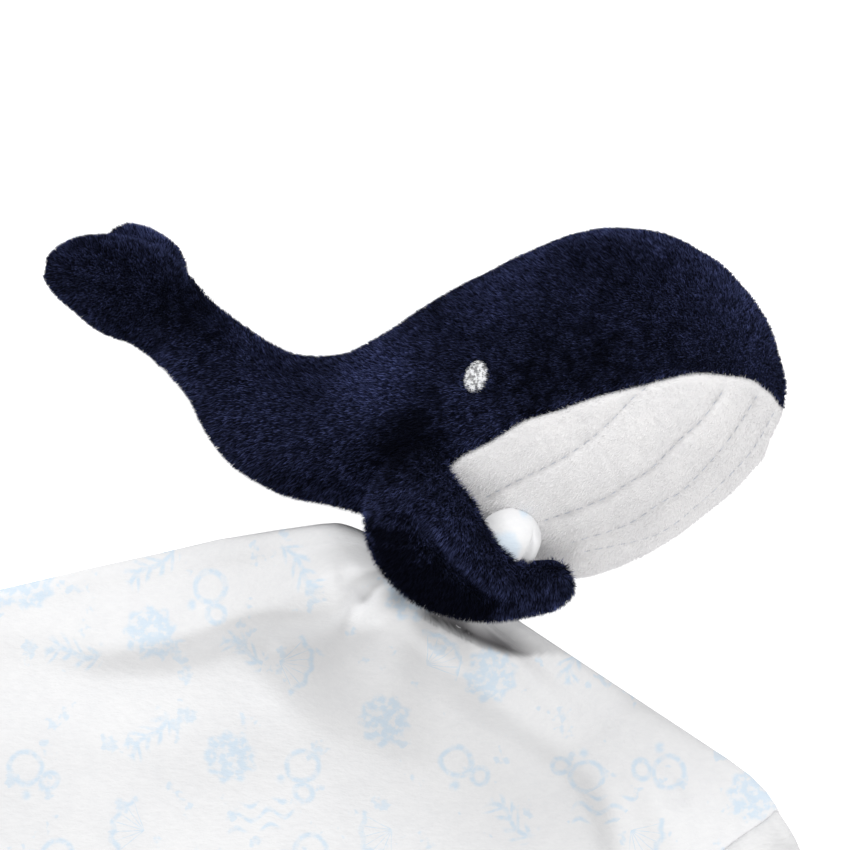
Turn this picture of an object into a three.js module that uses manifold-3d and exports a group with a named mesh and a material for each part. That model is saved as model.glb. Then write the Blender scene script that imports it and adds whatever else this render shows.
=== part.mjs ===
// A comfort blanket: a plush whale that hugs the gathered middle of a two-layer blanket, laid flat on its side.
// Millimetres. +X towards the snout, +Y towards the whale's back, +Z up from the table, which is Z = 0.
// The origin is under the flat of the blanket, straight below the gather.
import * as THREE from "three";
import { mergeVertices } from "three/addons/utils/BufferGeometryUtils.js";
import Module from "manifold-3d";

const wasm = await Module();
wasm.setup();

// Cloth and clearances
const plushThickness = 2;
const seamGap = 0.3;
const flipperPlushThickness = 1.5;
const blanketPlushThickness = 1.8;

// Body of the whale: stations along its middle line. half is back to belly, side is side to side.
const BODY = [
  { x: -82.5, y: 160.1, z: 25, half: 12, side: 11 },
  { x: -69.5, y: 146.5, z: 25.5, half: 14, side: 12.5 },
  { x: -59.5, y: 136.4, z: 27, half: 17.8, side: 15 },
  { x: -45.5, y: 128, z: 30, half: 22.4, side: 18.5 },
  { x: -30.5, y: 126.4, z: 34, half: 24.2, side: 22.5 },
  { x: -12.5, y: 128.4, z: 37.5, half: 31, side: 28 },
  { x: 7.3, y: 128.2, z: 39, half: 40.4, side: 34 },
  { x: 27.6, y: 132.6, z: 39, half: 48.4, side: 37.6 },
  { x: 41, y: 135.6, z: 39, half: 49.7, side: 38.5 },
  { x: 53.7, y: 137.8, z: 39, half: 47.8, side: 38 },
  { x: 66, y: 139.5, z: 39, half: 42.4, side: 35.4 },
  { x: 79.8, y: 140, z: 39, half: 32.2, side: 28.6 },
  { x: 88.5, y: 139.7, z: 39, half: 21.6, side: 20.4 },
  { x: 93, y: 138.6, z: 39, half: 12, side: 12 },
];
const snoutReach = 2.6;

// Seam between the navy sides and the white belly, seen from the side, from its rear end to the snout
const BELLY_SEAM = [
  [-0.9, 115.5],
  [9.6, 123.6],
  [19, 129.4],
  [29, 132.9],
  [38.9, 136.3],
  [49.3, 139.8],
  [54.8, 139.5],
  [60.3, 141.8],
  [68.7, 143.3],
  [77.7, 142.1],
  [84.7, 141.8],
  [86.7, 139.2],
  [91.1, 136.9],
  [98, 132],
];
const BELLY_REAR = [
  [-0.9, 115.5],
  [3.2, 109.1],
  [6.1, 105.6],
  [9, 101.5],
  [12, 80],
];
const seamLiftAtSnout = 9; // the centre seam leans to the near side at the snout
const seamLiftFromX = 78;

// Pleat rows stitched into the belly, seen from the side, from their rear end to the snout
const PLEATS = [
  [[9.9, 108.2], [23.5, 114.6], [37.4, 124.2], [49.9, 132.5], [52.8, 138]],
  [[25.5, 101.5], [40.3, 107], [54.8, 116], [63.2, 124.4], [75.1, 136.3]],
  [[33.4, 95.2], [48.4, 100.1], [65.3, 110.5], [75.7, 122.1], [85.6, 134.9]],
  [[37.4, 92.5], [52.8, 95.4], [69.3, 105.6], [84.7, 121], [91.1, 130.8]],
];
const stitchWidth = 1;
const stitchHeight = 0.5;
const stitchLift = 0.6;

// Eye: an oval patch of embroidery, seen from the side
const eyeX = 5.8;
const eyeY = 142.1;
const eyeLength = 9.6;
const eyeWidth = 7;
const eyeLean = THREE.MathUtils.degToRad(-18);
const eyeThickness = 0.8;

// Tail joints: both bend in the plane of the whale's profile
const tailJointX = -36;
const flukeJointX = -78.5;
const TAIL_RANGE = [-20, 25];
const FLUKE_RANGE = [-30, 30];
const jointClearance = 0.7;
const knuckleInset = 0.6;
const rangeSteps = 4;

// Fluke: two lobes from one root, the far one folded down behind the near one
const NEAR_LOBE = [
  { x: -84.5, y: 160.5, z: 25, half: 12, side: 9.5 },
  { x: -94, y: 167, z: 28, half: 13.8, side: 8.6 },
  { x: -105, y: 171.8, z: 31.5, half: 12.8, side: 7.6 },
  { x: -113, y: 174.2, z: 33.5, half: 9.4, side: 6.5 },
  { x: -117, y: 175.4, z: 34.5, half: 5.4, side: 4.4 },
];
const FAR_LOBE = [
  { x: -84.5, y: 161.5, z: 22, half: 10, side: 8 },
  { x: -89.5, y: 170, z: 14, half: 11.5, side: 7.6 },
  { x: -94.5, y: 177, z: 9, half: 10.6, side: 6.8 },
  { x: -98.5, y: 182, z: 6.6, half: 7.4, side: 5.8 },
  { x: -100.8, y: 184.5, z: 5.6, half: 4, side: 3.8 },
];
const lobeReach = 2.6;
const lobeRootReach = 7;
const lobeSides = 14;

// Near flipper: stations along its middle line. half is across it, side is through it, lean turns its
// outer edge down. The far flipper is the same, mirrored through the whale's middle plane.
const FLIPPER = [
  { x: -13.8, y: 111, z: 70, half: 12.4, side: 5.4, lean: 5 },
  { x: -12, y: 104.6, z: 70.5, half: 15.8, side: 6, lean: 7 },
  { x: -8.6, y: 97, z: 70.2, half: 16.8, side: 6.4, lean: 12 },
  { x: -2.5, y: 90.2, z: 68.8, half: 16, side: 6.4, lean: 15 },
  { x: 5.6, y: 85.4, z: 67.6, half: 14, side: 6.2, lean: 18 },
  { x: 14.6, y: 83.4, z: 66.8, half: 11.2, side: 6, lean: 18 },
  { x: 23.2, y: 83.2, z: 66, half: 8.6, side: 5.4, lean: 14 },
  { x: 29.4, y: 84, z: 65, half: 6.2, side: 4.4, lean: 10 },
];
const flipperReach = 3;
const middlePlaneZ = 39;

// Blanket: a square, gathered round its middle and laid double in a fan
const blanketSide = 300;
const cornerRadius = 24;
const pulledThrough = 29; // length of cloth from the blanket's middle to the neck of the gather
const neck = { x: -1.5, y: 82, z: 40 };
const neckRadius = 8.6;
const neckBlend = 26; // the gather has opened into the fan at this distance from the neck
const elbow = { x: 5, y: 86, z: 58 };
const peak = { x: 17, y: 98, z: 65 };
const gatherLength = 32; // from the neck to the middle of the peak
const peakDome = 1.6;
// Radius of the gather from past the peak's middle, at 1, down to the neck, at 0
const GATHER = [
  { at: 1.24, radius: 3.2 },
  { at: 1.16, radius: 6 },
  { at: 1, radius: 7.8 },
  { at: 0.84, radius: 7.4 },
  { at: 0.66, radius: 6.4 },
  { at: 0.4, radius: 6.4 },
  { at: 0.18, radius: 7.4 },
];
const fanLeft = THREE.MathUtils.degToRad(190);
const fanRight = THREE.MathUtils.degToRad(327);
const leftFoldRoot = { x: -16, y: 102.5 };
const rightFoldRoot = { x: -1, y: 85 };
const cornerTurn = THREE.MathUtils.degToRad(8); // the corners of the upper half lie this far from those below
const fallStart = 20; // the underside leaves the far flipper here, measured from the neck
const fallEnd = 62; // and lies on the table from here
const fallTop = 31;
const laidHeight = 9.4;
const puffHeight = 9;
const edgeRoll = 1.6;
const foldPoints = 4;
const flatPoints = 13;
const clothSteps = 10;

// Threads round the gather: one binds it at the neck, two tack it to the whale's side. at is their place on
// the gather, as in GATHER.
const THREADS = [
  { name: "gather_binding_thread", at: 0.2, radius: 8.3, thickness: 1.2 },
  { name: "belly_tack_stitch_1", at: 0.5, radius: 7.2, thickness: 0.9 },
  { name: "belly_tack_stitch_2", at: 0.66, radius: 7.3, thickness: 0.9 },
];

const COLOURS = {
  navy: 0x151a3a,
  white: 0xf0f0f2,
  print: 0xeaf0f6,
  plain: 0xf2f2f2,
  silver: 0xd9dde6,
  thread: 0xb9c6da,
  filling: 0xf7f7f4,
};

const UP = new THREE.Vector3(0, 0, 1);
const point = (x, y, z = 0) => new THREE.Vector3(x, y, z);

// Solids and booleans

function solidOf(geometry) {
  const bare = mergeVertices(geometry.deleteAttribute("normal").deleteAttribute("uv"));
  return new wasm.Manifold(
    new wasm.Mesh({
      numProp: 3,
      vertProperties: new Float32Array(bare.attributes.position.array),
      triVerts: new Uint32Array(bare.index.array),
    }),
  );
}

function geometryOf(solid) {
  const mesh = solid.getMesh();
  return new THREE.BufferGeometry()
    .setAttribute("position", new THREE.BufferAttribute(new Float32Array(mesh.vertProperties), 3))
    .setIndex(new THREE.BufferAttribute(new Uint32Array(mesh.triVerts), 1));
}

// The largest of the separate bodies of a cut solid
function mainBody(solid) {
  return solid.decompose().reduce((a, b) => (a.volume() > b.volume() ? a : b));
}

// A closed surface through rings of points, with a point at each end. Rings run from one end to the other.
// Past ring turnAt each four-sided field is split along its other diagonal, so that a surface that folds back
// inside itself there splits the same way on both faces.
function closedLoft(firstEnd, rings, lastEnd, turnAt = Infinity) {
  const count = rings[0].length;
  const positions = [firstEnd, ...rings.flat(), lastEnd].flatMap((p) => p.toArray());
  const last = 1 + rings.length * count;
  const faces = [];
  for (let i = 0; i < count; i++) {
    const j = (i + 1) % count;
    faces.push(0, 1 + j, 1 + i);
    for (let k = 0; k + 1 < rings.length; k++) {
      const a = 1 + k * count;
      const b = a + count;
      if (k < turnAt) faces.push(a + i, a + j, b + i, a + j, b + j, b + i);
      else faces.push(a + i, a + j, b + j, a + i, b + j, b + i);
    }
    const end = last - count;
    faces.push(end + i, end + j, last);
  }
  const geometry = new THREE.BufferGeometry()
    .setAttribute("position", new THREE.BufferAttribute(new Float32Array(positions), 3))
    .setIndex(faces);
  return facingOut(geometry);
}

const middleOf = (ring) => ring.reduce((sum, p) => sum.add(p), point(0, 0)).multiplyScalar(1 / ring.length);

// The same geometry with its faces turned round if they point inwards
function facingOut(geometry) {
  const p = geometry.attributes.position;
  const index = geometry.index.array;
  const [a, b, c] = [point(0, 0), point(0, 0), point(0, 0)];
  let volume = 0;
  for (let i = 0; i < index.length; i += 3) {
    a.fromBufferAttribute(p, index[i]);
    b.fromBufferAttribute(p, index[i + 1]);
    c.fromBufferAttribute(p, index[i + 2]);
    volume += a.dot(b.cross(c));
  }
  if (volume < 0) {
    for (let i = 0; i < index.length; i += 3) [index[i + 1], index[i + 2]] = [index[i + 2], index[i + 1]];
  }
  return geometry;
}

// A closed geometry with each point moved along its normal, outwards for a positive distance
function offset(geometry, distance) {
  const moved = geometry.clone();
  moved.computeVertexNormals();
  const p = moved.attributes.position;
  const n = moved.attributes.normal;
  for (let i = 0; i < p.count; i++) {
    p.setXYZ(i, p.getX(i) + n.getX(i) * distance, p.getY(i) + n.getY(i) * distance, p.getZ(i) + n.getZ(i) * distance);
  }
  moved.deleteAttribute("normal");
  return moved;
}

// A prism through the whole part over an outline in the plane of the profile
function profilePrism(outline) {
  const tall = 400;
  const shape = new THREE.Shape(outline.map(([x, y]) => new THREE.Vector2(x, y)));
  const geometry = new THREE.ExtrudeGeometry(shape, { depth: tall, bevelEnabled: false, steps: 1 });
  return solidOf(geometry.translate(0, 0, -tall / 2));
}

// Lofts along a middle line

// Stations between the given ones, each with every value on a smooth curve through them
function smoothStations(stations, perSpan) {
  const keys = Object.keys(stations[0]);
  const count = (stations.length - 1) * perSpan;
  const at = (i) => stations[Math.min(Math.max(i, 0), stations.length - 1)];
  const made = [];
  for (let k = 0; k <= count; k++) {
    const span = Math.min(Math.floor(k / perSpan), stations.length - 2);
    const t = k / perSpan - span;
    const value = {};
    for (const key of keys) {
      const [p0, p1, p2, p3] = [at(span - 1)[key], at(span)[key], at(span + 1)[key], at(span + 2)[key]];
      value[key] =
        0.5 *
        (2 * p1 +
          (p2 - p0) * t +
          (2 * p0 - 5 * p1 + 4 * p2 - p3) * t * t +
          (3 * p1 - p0 - 3 * p2 + p3) * t * t * t);
    }
    made.push(value);
  }
  return made;
}

// The direction across the middle line at station k, in the plane of the profile, towards the back
function acrossAt(stations, k) {
  const a = stations[Math.max(k - 1, 0)];
  const b = stations[Math.min(k + 1, stations.length - 1)];
  const along = point(b.x - a.x, b.y - a.y, 0).normalize();
  return UP.clone().cross(along);
}

// The oval ring of a station, turned about the middle line by its lean
function ringOf(stations, k, sides, grow = 0) {
  const s = stations[k];
  const lean = THREE.MathUtils.degToRad(s.lean ?? 0);
  const flat = acrossAt(stations, k);
  const across = flat.clone().multiplyScalar(Math.cos(lean)).addScaledVector(UP, Math.sin(lean));
  const through = UP.clone().multiplyScalar(Math.cos(lean)).addScaledVector(flat, -Math.sin(lean));
  return Array.from({ length: sides }, (_, i) => {
    const angle = (2 * Math.PI * i) / sides;
    return point(s.x, s.y, s.z)
      .addScaledVector(across, (s.half + grow) * Math.cos(angle))
      .addScaledVector(through, (s.side + grow) * Math.sin(angle));
  });
}

// An oval body along stations, closed by a low dome of the given reach at each end
function ovalBody(stations, sides, firstReach, lastReach) {
  const rings = stations.map((_, k) => ringOf(stations, k, sides));
  const centre = (s) => point(s.x, s.y, s.z);
  const [a, b] = [centre(stations[0]), centre(stations[1])];
  const [y, z] = [centre(stations.at(-2)), centre(stations.at(-1))];
  const firstEnd = a.clone().addScaledVector(a.clone().sub(b).normalize(), firstReach);
  const lastEnd = z.clone().addScaledVector(z.clone().sub(y).normalize(), lastReach);
  return closedLoft(firstEnd, rings, lastEnd);
}

const bodyStations = smoothStations(BODY, 1);
const bodySides = 24;
const bodyOuter = ovalBody(bodyStations, bodySides, 1, snoutReach);

// The station of the body whose middle line is nearest to x
function bodyStationAt(x) {
  const k = bodyStations.findIndex((s) => s.x >= x);
  const [a, b] = [bodyStations[k - 1], bodyStations[k]];
  const t = (x - a.x) / (b.x - a.x);
  const mixed = {};
  for (const key of Object.keys(a)) mixed[key] = a[key] + (b[key] - a[key]) * t;
  return mixed;
}

// A point lifted off the near or far flank over a point of the profile plane, with the flank's normal there
const flankMesh = new THREE.Mesh(bodyOuter, new THREE.MeshBasicMaterial({ side: THREE.DoubleSide }));
const rayHeight = 500;
function flankPoint(x, y, near, lift) {
  const start = point(x, y, near ? rayHeight : -rayHeight);
  const [hit] = new THREE.Raycaster(start, point(0, 0, near ? -1 : 1)).intersectObject(flankMesh);
  if (!hit) return null;
  return { at: hit.point.clone().addScaledVector(hit.face.normal, lift), normal: hit.face.normal };
}

// Half-spaces and joints

// A solid that covers the tail side of a joint: everything behind the joint's line, and a round knuckle on it
function tailSideOf(jointX, radiusExtra) {
  const s = bodyStationAt(jointX);
  const before = bodyStationAt(jointX - 1);
  const after = bodyStationAt(jointX + 1);
  const along = point(after.x - before.x, after.y - before.y).normalize();
  const across = UP.clone().cross(along);
  const wide = 200;
  const corner = (u, v) => {
    const p = point(s.x, s.y).addScaledVector(along, u).addScaledVector(across, v);
    return [p.x, p.y];
  };
  const behind = profilePrism([
    corner(-wide, -wide),
    corner(radiusExtra, -wide),
    corner(radiusExtra, wide),
    corner(-wide, wide),
  ]);
  const knuckle = new THREE.CylinderGeometry(s.half + radiusExtra, s.half + radiusExtra, wide, 40);
  knuckle.rotateX(Math.PI / 2).translate(s.x, s.y, 0);
  return behind.add(solidOf(knuckle));
}

function jointPoint(jointX) {
  const s = bodyStationAt(jointX);
  return point(s.x, s.y, s.z);
}

// The room that a body needs as it turns about Z through its range
function sweptRoom(solid, pivot, range) {
  let room = solid;
  for (let k = 0; k <= rangeSteps; k++) {
    const angle = range[0] + ((range[1] - range[0]) * k) / rangeSteps;
    const turned = solid
      .translate([-pivot.x, -pivot.y, 0])
      .rotate([0, 0, angle])
      .translate([pivot.x, pivot.y, 0]);
    room = room.add(turned);
  }
  return room;
}

// Pieces

const root = new THREE.Group();

function addPiece(name, solid, colour, roughness = 0.95) {
  const material = new THREE.MeshStandardMaterial({ color: colour, roughness, metalness: 0 });
  const mesh = new THREE.Mesh(geometryOf(mainBody(solid.subtract(table))), material);
  mesh.name = name;
  root.add(mesh);
}

// The skin of a closed body, as thick as its plush, and the filling inside it. What lies against the body
// presses a dent into both: press(gap) is its room at a gap.
function skinAndFilling(outer, thickness, press) {
  const inner = solidOf(offset(outer, -thickness)).subtract(press(seamGap + thickness));
  return {
    skin: solidOf(outer).subtract(press(seamGap)).subtract(inner),
    filling: solidOf(offset(outer, -thickness - seamGap)).subtract(press(2 * seamGap + thickness)),
  };
}

// Which side of the whale's centre seam: a solid above or below the seam's surface, gap away from it
function sideOfSeam(near) {
  const far = 300;
  const sign = near ? 1 : -1;
  const line = [
    [BODY[0].x - far, BODY[0].z],
    ...BODY.map((s) => {
      const t = Math.max(0, (s.x - seamLiftFromX) / (BODY.at(-1).x - seamLiftFromX));
      return [s.x, s.z + seamLiftAtSnout * t];
    }),
    [BODY.at(-1).x + far, BODY.at(-1).z + seamLiftAtSnout],
  ].map(([x, z]) => [x, z + (sign * seamGap) / 2]);
  const outline = [...line, [line.at(-1)[0], sign * far], [line[0][0], sign * far]];
  const shape = new THREE.Shape(outline.map(([x, z]) => new THREE.Vector2(x, z)));
  const geometry = new THREE.ExtrudeGeometry(shape, { depth: 2 * far, bevelEnabled: false, steps: 1 });
  return solidOf(geometry.translate(0, 0, -far).rotateX(Math.PI / 2));
}

// Belly region in the plane of the profile, moved along Y by a shift
function bellyRegion(shift) {
  const deep = 60;
  const seam = BELLY_SEAM.map(([x, y]) => [x, y + shift]);
  const rear = BELLY_REAR.map(([x, y]) => [x - shift, y]);
  const front = BELLY_SEAM.at(-1)[0] + deep;
  return profilePrism([
    ...rear.slice(1).reverse(),
    [BELLY_SEAM[0][0] - shift, BELLY_SEAM[0][1] + shift],
    ...seam.slice(1),
    [front, seam.at(-1)[1]],
    [front, rear.at(-1)[1]],
  ]);
}

const table = solidOf(new THREE.BoxGeometry(900, 900, 100).translate(0, 0, -50));
const nearHalf = sideOfSeam(true);
const farHalf = sideOfSeam(false);

// Fluke

const flukeOuter = (grow) => {
  const lobes = [NEAR_LOBE, FAR_LOBE].map((stations) => {
    const lobe = ovalBody(stations, lobeSides, lobeRootReach, lobeReach);
    return solidOf(grow ? offset(lobe, grow) : lobe);
  });
  return lobes[0].add(lobes[1]).add(flukeKnuckle(grow));
};
const flukeKnuckle = (grow) => {
  const s = bodyStationAt(flukeJointX);
  const knuckle = new THREE.SphereGeometry(Math.min(s.half, s.side) - knuckleInset + grow, 14, 10);
  return solidOf(knuckle.translate(s.x, s.y, s.z));
};
// The lobes' roots alone, with few faces, grown past their own facets
const flukeRoots = () => {
  const lobes = [NEAR_LOBE, FAR_LOBE].map((stations) =>
    solidOf(offset(ovalBody(stations.slice(0, 3), 10, 2, lobeReach), 2 * jointClearance)),
  );
  return lobes[0].add(lobes[1]);
};
const flukeSolid = flukeOuter(0);
const flukePivot = jointPoint(flukeJointX);
const flukeRoom = sweptRoom(flukeRoots(), flukePivot, FLUKE_RANGE).add(flukeKnuckle(jointClearance));

// The wedge between the two lobes' middle surfaces, on the fluke's underside
function underTheFluke() {
  const wide = 120;
  const start = NEAR_LOBE[0];
  const nearTip = NEAR_LOBE.at(-1);
  const farTip = FAR_LOBE.at(-1);
  const stretch = (tip) => {
    const away = point(tip.x - start.x, tip.y - start.y, tip.z - start.z).normalize();
    return point(start.x, start.y, start.z).addScaledVector(away, wide);
  };
  const [a, b] = [stretch(nearTip), stretch(farTip)];
  const across = point(-(b.y + a.y - 2 * start.y), b.x + a.x - 2 * start.x).normalize();
  const apex = point(start.x + 4, start.y - 2, start.z);
  const corners = [apex, a, b].flatMap((p) => [
    p.clone().addScaledVector(across, -wide),
    p.clone().addScaledVector(across, wide),
  ]);
  const geometry = new THREE.BufferGeometry()
    .setAttribute("position", new THREE.BufferAttribute(new Float32Array(corners.flatMap((p) => p.toArray())), 3))
    .setIndex([0, 2, 4, 1, 5, 3, 0, 1, 3, 0, 3, 2, 2, 3, 5, 2, 5, 4, 4, 5, 1, 4, 1, 0]);
  return facingOut(geometry);
}

function addFluke() {
  const lower = underTheFluke();
  const hollow = flukeOuter(-plushThickness);
  const skin = flukeSolid.subtract(hollow);
  addPiece("fluke_lower_panel", skin.intersect(solidOf(lower)), COLOURS.navy);
  addPiece("fluke_upper_panel", skin.subtract(solidOf(offset(lower, seamGap))), COLOURS.navy);
  addPiece("fluke_filling", flukeOuter(-plushThickness - 3 * seamGap), COLOURS.filling);
}

// Body and tail

function addBodyAndTail() {
  const { skin, filling } = skinAndFilling(bodyOuter, plushThickness, gatherRoom);
  const tailSide = tailSideOf(tailJointX, 0);
  const tailRoot = ovalBody(smoothStations(BODY.slice(2, 6), 1), 20, 1, 1);
  const tailOuter = solidOf(offset(tailRoot, 2 * jointClearance)).intersect(tailSideOf(tailJointX, jointClearance));
  const tailRoom = sweptRoom(tailOuter, jointPoint(tailJointX), TAIL_RANGE);
  const belly = bellyRegion(-seamGap / 2);
  const notBelly = bellyRegion(seamGap / 2);
  const side = skin.subtract(tailRoom).subtract(notBelly);
  addPiece("near_side_panel", side.intersect(nearHalf), COLOURS.navy);
  addPiece("far_side_panel", side.intersect(farHalf), COLOURS.navy);
  addPiece("belly_panel", skin.subtract(tailRoom).intersect(belly), COLOURS.white);
  addPiece("body_filling", filling.subtract(tailRoom), COLOURS.filling);
  const tailSkin = skin.intersect(tailSide).subtract(flukeRoom);
  addPiece("tail_near_panel", tailSkin.intersect(nearHalf), COLOURS.navy);
  addPiece("tail_far_panel", tailSkin.intersect(farHalf), COLOURS.navy);
  addPiece("tail_filling", filling.intersect(tailSide).subtract(flukeRoom), COLOURS.filling);
}

// Trim that lies on the body

// A ribbon laid on the near or far flank along a line of the profile plane
function flankRibbon(line, near) {
  const curve = new THREE.CatmullRomCurve3(line.map(([x, y]) => point(x, y)));
  const steps = 18;
  const places = [];
  for (let k = 0; k <= steps; k++) {
    const p = curve.getPointAt(k / steps);
    const place = flankPoint(p.x, p.y, near, stitchLift);
    if (place) places.push(place);
  }
  const rings = places.map(({ at, normal }, k) => {
    const along = places[Math.min(k + 1, places.length - 1)].at.clone().sub(places[Math.max(k - 1, 0)].at);
    const across = normal.clone().cross(along).normalize().multiplyScalar(stitchWidth / 2);
    const over = normal.clone().multiplyScalar(stitchHeight);
    const edges = [at.clone().sub(across), at.clone().add(across)];
    return [edges[0], edges[1], edges[1].clone().add(over), edges[0].clone().add(over)];
  });
  return closedLoft(middleOf(rings[0]), rings, middleOf(rings.at(-1)));
}

function addPleatStitching() {
  PLEATS.forEach((line, i) => {
    addPiece("near_pleat_stitching_" + (i + 1), solidOf(flankRibbon(line, true)), COLOURS.thread);
    addPiece("far_pleat_stitching_" + (i + 1), solidOf(flankRibbon(line, false)), COLOURS.thread);
  });
}

// An oval patch on the flank, domed like the flank under it
function eyePatch(near) {
  const sides = 20;
  const lift = (p, height) => flankPoint(p.x, p.y, near, height).at;
  const oval = (share) =>
    Array.from({ length: sides }, (_, i) => {
      const angle = (2 * Math.PI * i) / sides;
      const p = point((share * eyeWidth * Math.cos(angle)) / 2, (share * eyeLength * Math.sin(angle)) / 2);
      return p.applyAxisAngle(UP, eyeLean).add(point(eyeX, eyeY));
    });
  const middle = point(eyeX, eyeY);
  const top = stitchLift + eyeThickness;
  const under = [0.5, 1].map((share) => oval(share).map((p) => lift(p, stitchLift)));
  const over = [0.94, 0.5].map((share) => oval(share).map((p) => lift(p, top)));
  return closedLoft(lift(middle, stitchLift), [...under, ...over], lift(middle, top));
}

// Flippers

function flipperParts() {
  const stations = smoothStations(FLIPPER, 1);
  const outer = ovalBody(stations, 16, 3, flipperReach);
  // The seam runs round the edge, so the cut follows the middle surface of the flipper.
  const wide = 26;
  const sheet = stations.map((s, k) => {
    const lean = THREE.MathUtils.degToRad(s.lean);
    const across = acrossAt(stations, k).multiplyScalar(Math.cos(lean)).addScaledVector(UP, Math.sin(lean));
    return [-wide, wide].map((v) => point(s.x, s.y, s.z).addScaledVector(across, v));
  });
  return { outer, sheet };
}

// The space on the outer side of a flipper's middle surface, at a gap from it
function outerSide(sheet, gap) {
  const high = 60;
  const extended = [sheet[0], ...sheet, sheet.at(-1)].map((pair) => pair.map((p) => p.clone()));
  const push = (pair, from, length) => {
    const away = pair[0].clone().add(pair[1]).sub(from[0]).sub(from[1]).setZ(0).normalize();
    pair.forEach((p) => p.addScaledVector(away, length));
  };
  push(extended[0], sheet[1], 12);
  push(extended.at(-1), sheet.at(-2), 14);
  const rings = extended.map(([a, b]) => [
    a.clone().setZ(a.z + gap),
    b.clone().setZ(b.z + gap),
    b.clone().setZ(b.z + high),
    a.clone().setZ(a.z + high),
  ]);
  return solidOf(closedLoft(middleOf(rings[0]), rings, middleOf(rings.at(-1))));
}

function addFlipper(name, mirrored) {
  const { outer, sheet } = flipperParts();
  const { skin, filling } = skinAndFilling(outer, flipperPlushThickness, mirrored ? noRoom : gatherRoom);
  const pieces = {
    outer_panel: skin.intersect(outerSide(sheet, seamGap / 2)),
    inner_panel: skin.subtract(outerSide(sheet, -seamGap / 2)),
    filling,
  };
  for (const [piece, solid] of Object.entries(pieces)) {
    const placed = mirrored ? solid.mirror([0, 0, 1]).translate([0, 0, 2 * middlePlaneZ]) : solid;
    addPiece(name + "_" + piece, placed, piece === "filling" ? COLOURS.filling : COLOURS.navy);
  }
}

// Blanket

const fanMiddle = (fanLeft + fanRight) / 2;
const fanHalf = (fanRight - fanLeft) / 2;
// Across the fan, from its right fold to its left one
const crosswise = point(-Math.cos(fanMiddle + Math.PI / 2), -Math.sin(fanMiddle + Math.PI / 2));
const smooth = (t) => {
  const c = Math.min(Math.max(t, 0), 1);
  return c * c * (3 - 2 * c);
};

// Length of the cloth from its middle to its edge in a direction of the cloth, with rounded corners
function clothReach(angle) {
  const half = blanketSide / 2;
  const [c, s] = [Math.abs(Math.cos(angle)), Math.abs(Math.sin(angle))];
  const straight = half / Math.max(c, s);
  const inner = half - cornerRadius;
  if (straight * Math.min(c, s) <= inner) return straight;
  const along = inner * (c + s);
  return along + Math.sqrt(Math.max(along * along - 2 * inner * inner + cornerRadius * cornerRadius, 0));
}

const laidReach = (angle) => clothReach(angle + cornerTurn) - pulledThrough;

// How far the underside and the upper side of the laid cloth are above the table, at a distance from the neck
function undersideAt(r) {
  return fallTop * (1 - smooth((r - fallStart) / (fallEnd - fallStart)));
}
function thicknessAt(r, across) {
  const puff = puffHeight * Math.exp(-(((r - 46) / 30) ** 2)) + 3 * Math.sin(across * 7 + r * 0.05) * smooth(r / 60);
  return laidHeight + Math.max(puff, 0) + 6 * (1 - smooth(r / 25));
}

// Directions in the cloth, 0 at the left fold and up to pi over the upper side: close together in the folds
const foldShare = THREE.MathUtils.degToRad(6);
const CLOTH_ANGLES = [0, Math.PI].flatMap((start) => [
  ...Array.from({ length: foldPoints }, (_, i) => start + foldShare * ((2 * (i + 1)) / (foldPoints + 1) - 1)),
  ...Array.from({ length: flatPoints }, (_, i) => start + foldShare + ((Math.PI - 2 * foldShare) * i) / (flatPoints - 1)),
]);

// Where a direction in the cloth lies in a section across the fan: how far across it, from -1 to 1, and the
// angle round a fold, which is 90 degrees on the upper side and -90 on the underside
function sectionPlace(angle) {
  const turn = angle > 1.5 * Math.PI ? angle - 2 * Math.PI : angle;
  if (Math.abs(turn) < foldShare) return { across: -1, round: ((turn / foldShare) * Math.PI) / 2, fold: true };
  if (Math.abs(turn - Math.PI) < foldShare) {
    return { across: 1, round: (((Math.PI - turn) / foldShare) * Math.PI) / 2, fold: true };
  }
  const upper = turn > 0 && turn < Math.PI;
  const share = ((upper ? turn : 2 * Math.PI - angle) - foldShare) / (Math.PI - 2 * foldShare);
  return { across: 2 * share - 1, round: upper ? Math.PI / 2 : -Math.PI / 2, fold: false };
}

// A point of the laid cloth, inset from the blanket's outer face
function clothPoint(r, angle, inset) {
  const { across, round } = sectionPlace(angle);
  const half = thicknessAt(r, across) / 2;
  const span = Math.max(r, 14);
  const sideways = across * (span * fanHalf - half) + Math.sign(across) * (half - inset) * Math.cos(round);
  const direction = fanMiddle + sideways / span;
  const z = undersideAt(r) + half + (half - inset) * Math.sin(round);
  const share = (across + 1) / 2;
  const rootX = THREE.MathUtils.lerp(leftFoldRoot.x, rightFoldRoot.x, share);
  const rootY = THREE.MathUtils.lerp(leftFoldRoot.y, rightFoldRoot.y, share);
  const fan = point(rootX + r * Math.cos(direction), rootY + r * Math.sin(direction), z);
  const ring = point(neck.x, neck.y, neck.z)
    .addScaledVector(crosswise, (neckRadius - inset) * Math.cos(angle))
    .addScaledVector(UP, (neckRadius - inset) * Math.sin(angle));
  return ring.lerp(fan, smooth(r / neckBlend));
}

// A place on the gather's middle line, with the directions along it, across the fan and upwards
const gatherPath = new THREE.QuadraticBezierCurve3(
  point(neck.x, neck.y, neck.z),
  point(elbow.x, elbow.y, elbow.z),
  point(peak.x, peak.y, peak.z),
);
function gatherFrame(at) {
  const along = gatherPath.getTangent(Math.min(at, 1));
  const centre = gatherPath.getPoint(Math.min(at, 1)).addScaledVector(along, Math.max(at - 1, 0) * gatherLength);
  const side = crosswise.clone().addScaledVector(along, -along.dot(crosswise)).normalize();
  const upper = side.clone().cross(along);
  if (upper.dot(UP) < 0) upper.negate();
  return { centre, along, side, upper };
}

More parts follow.
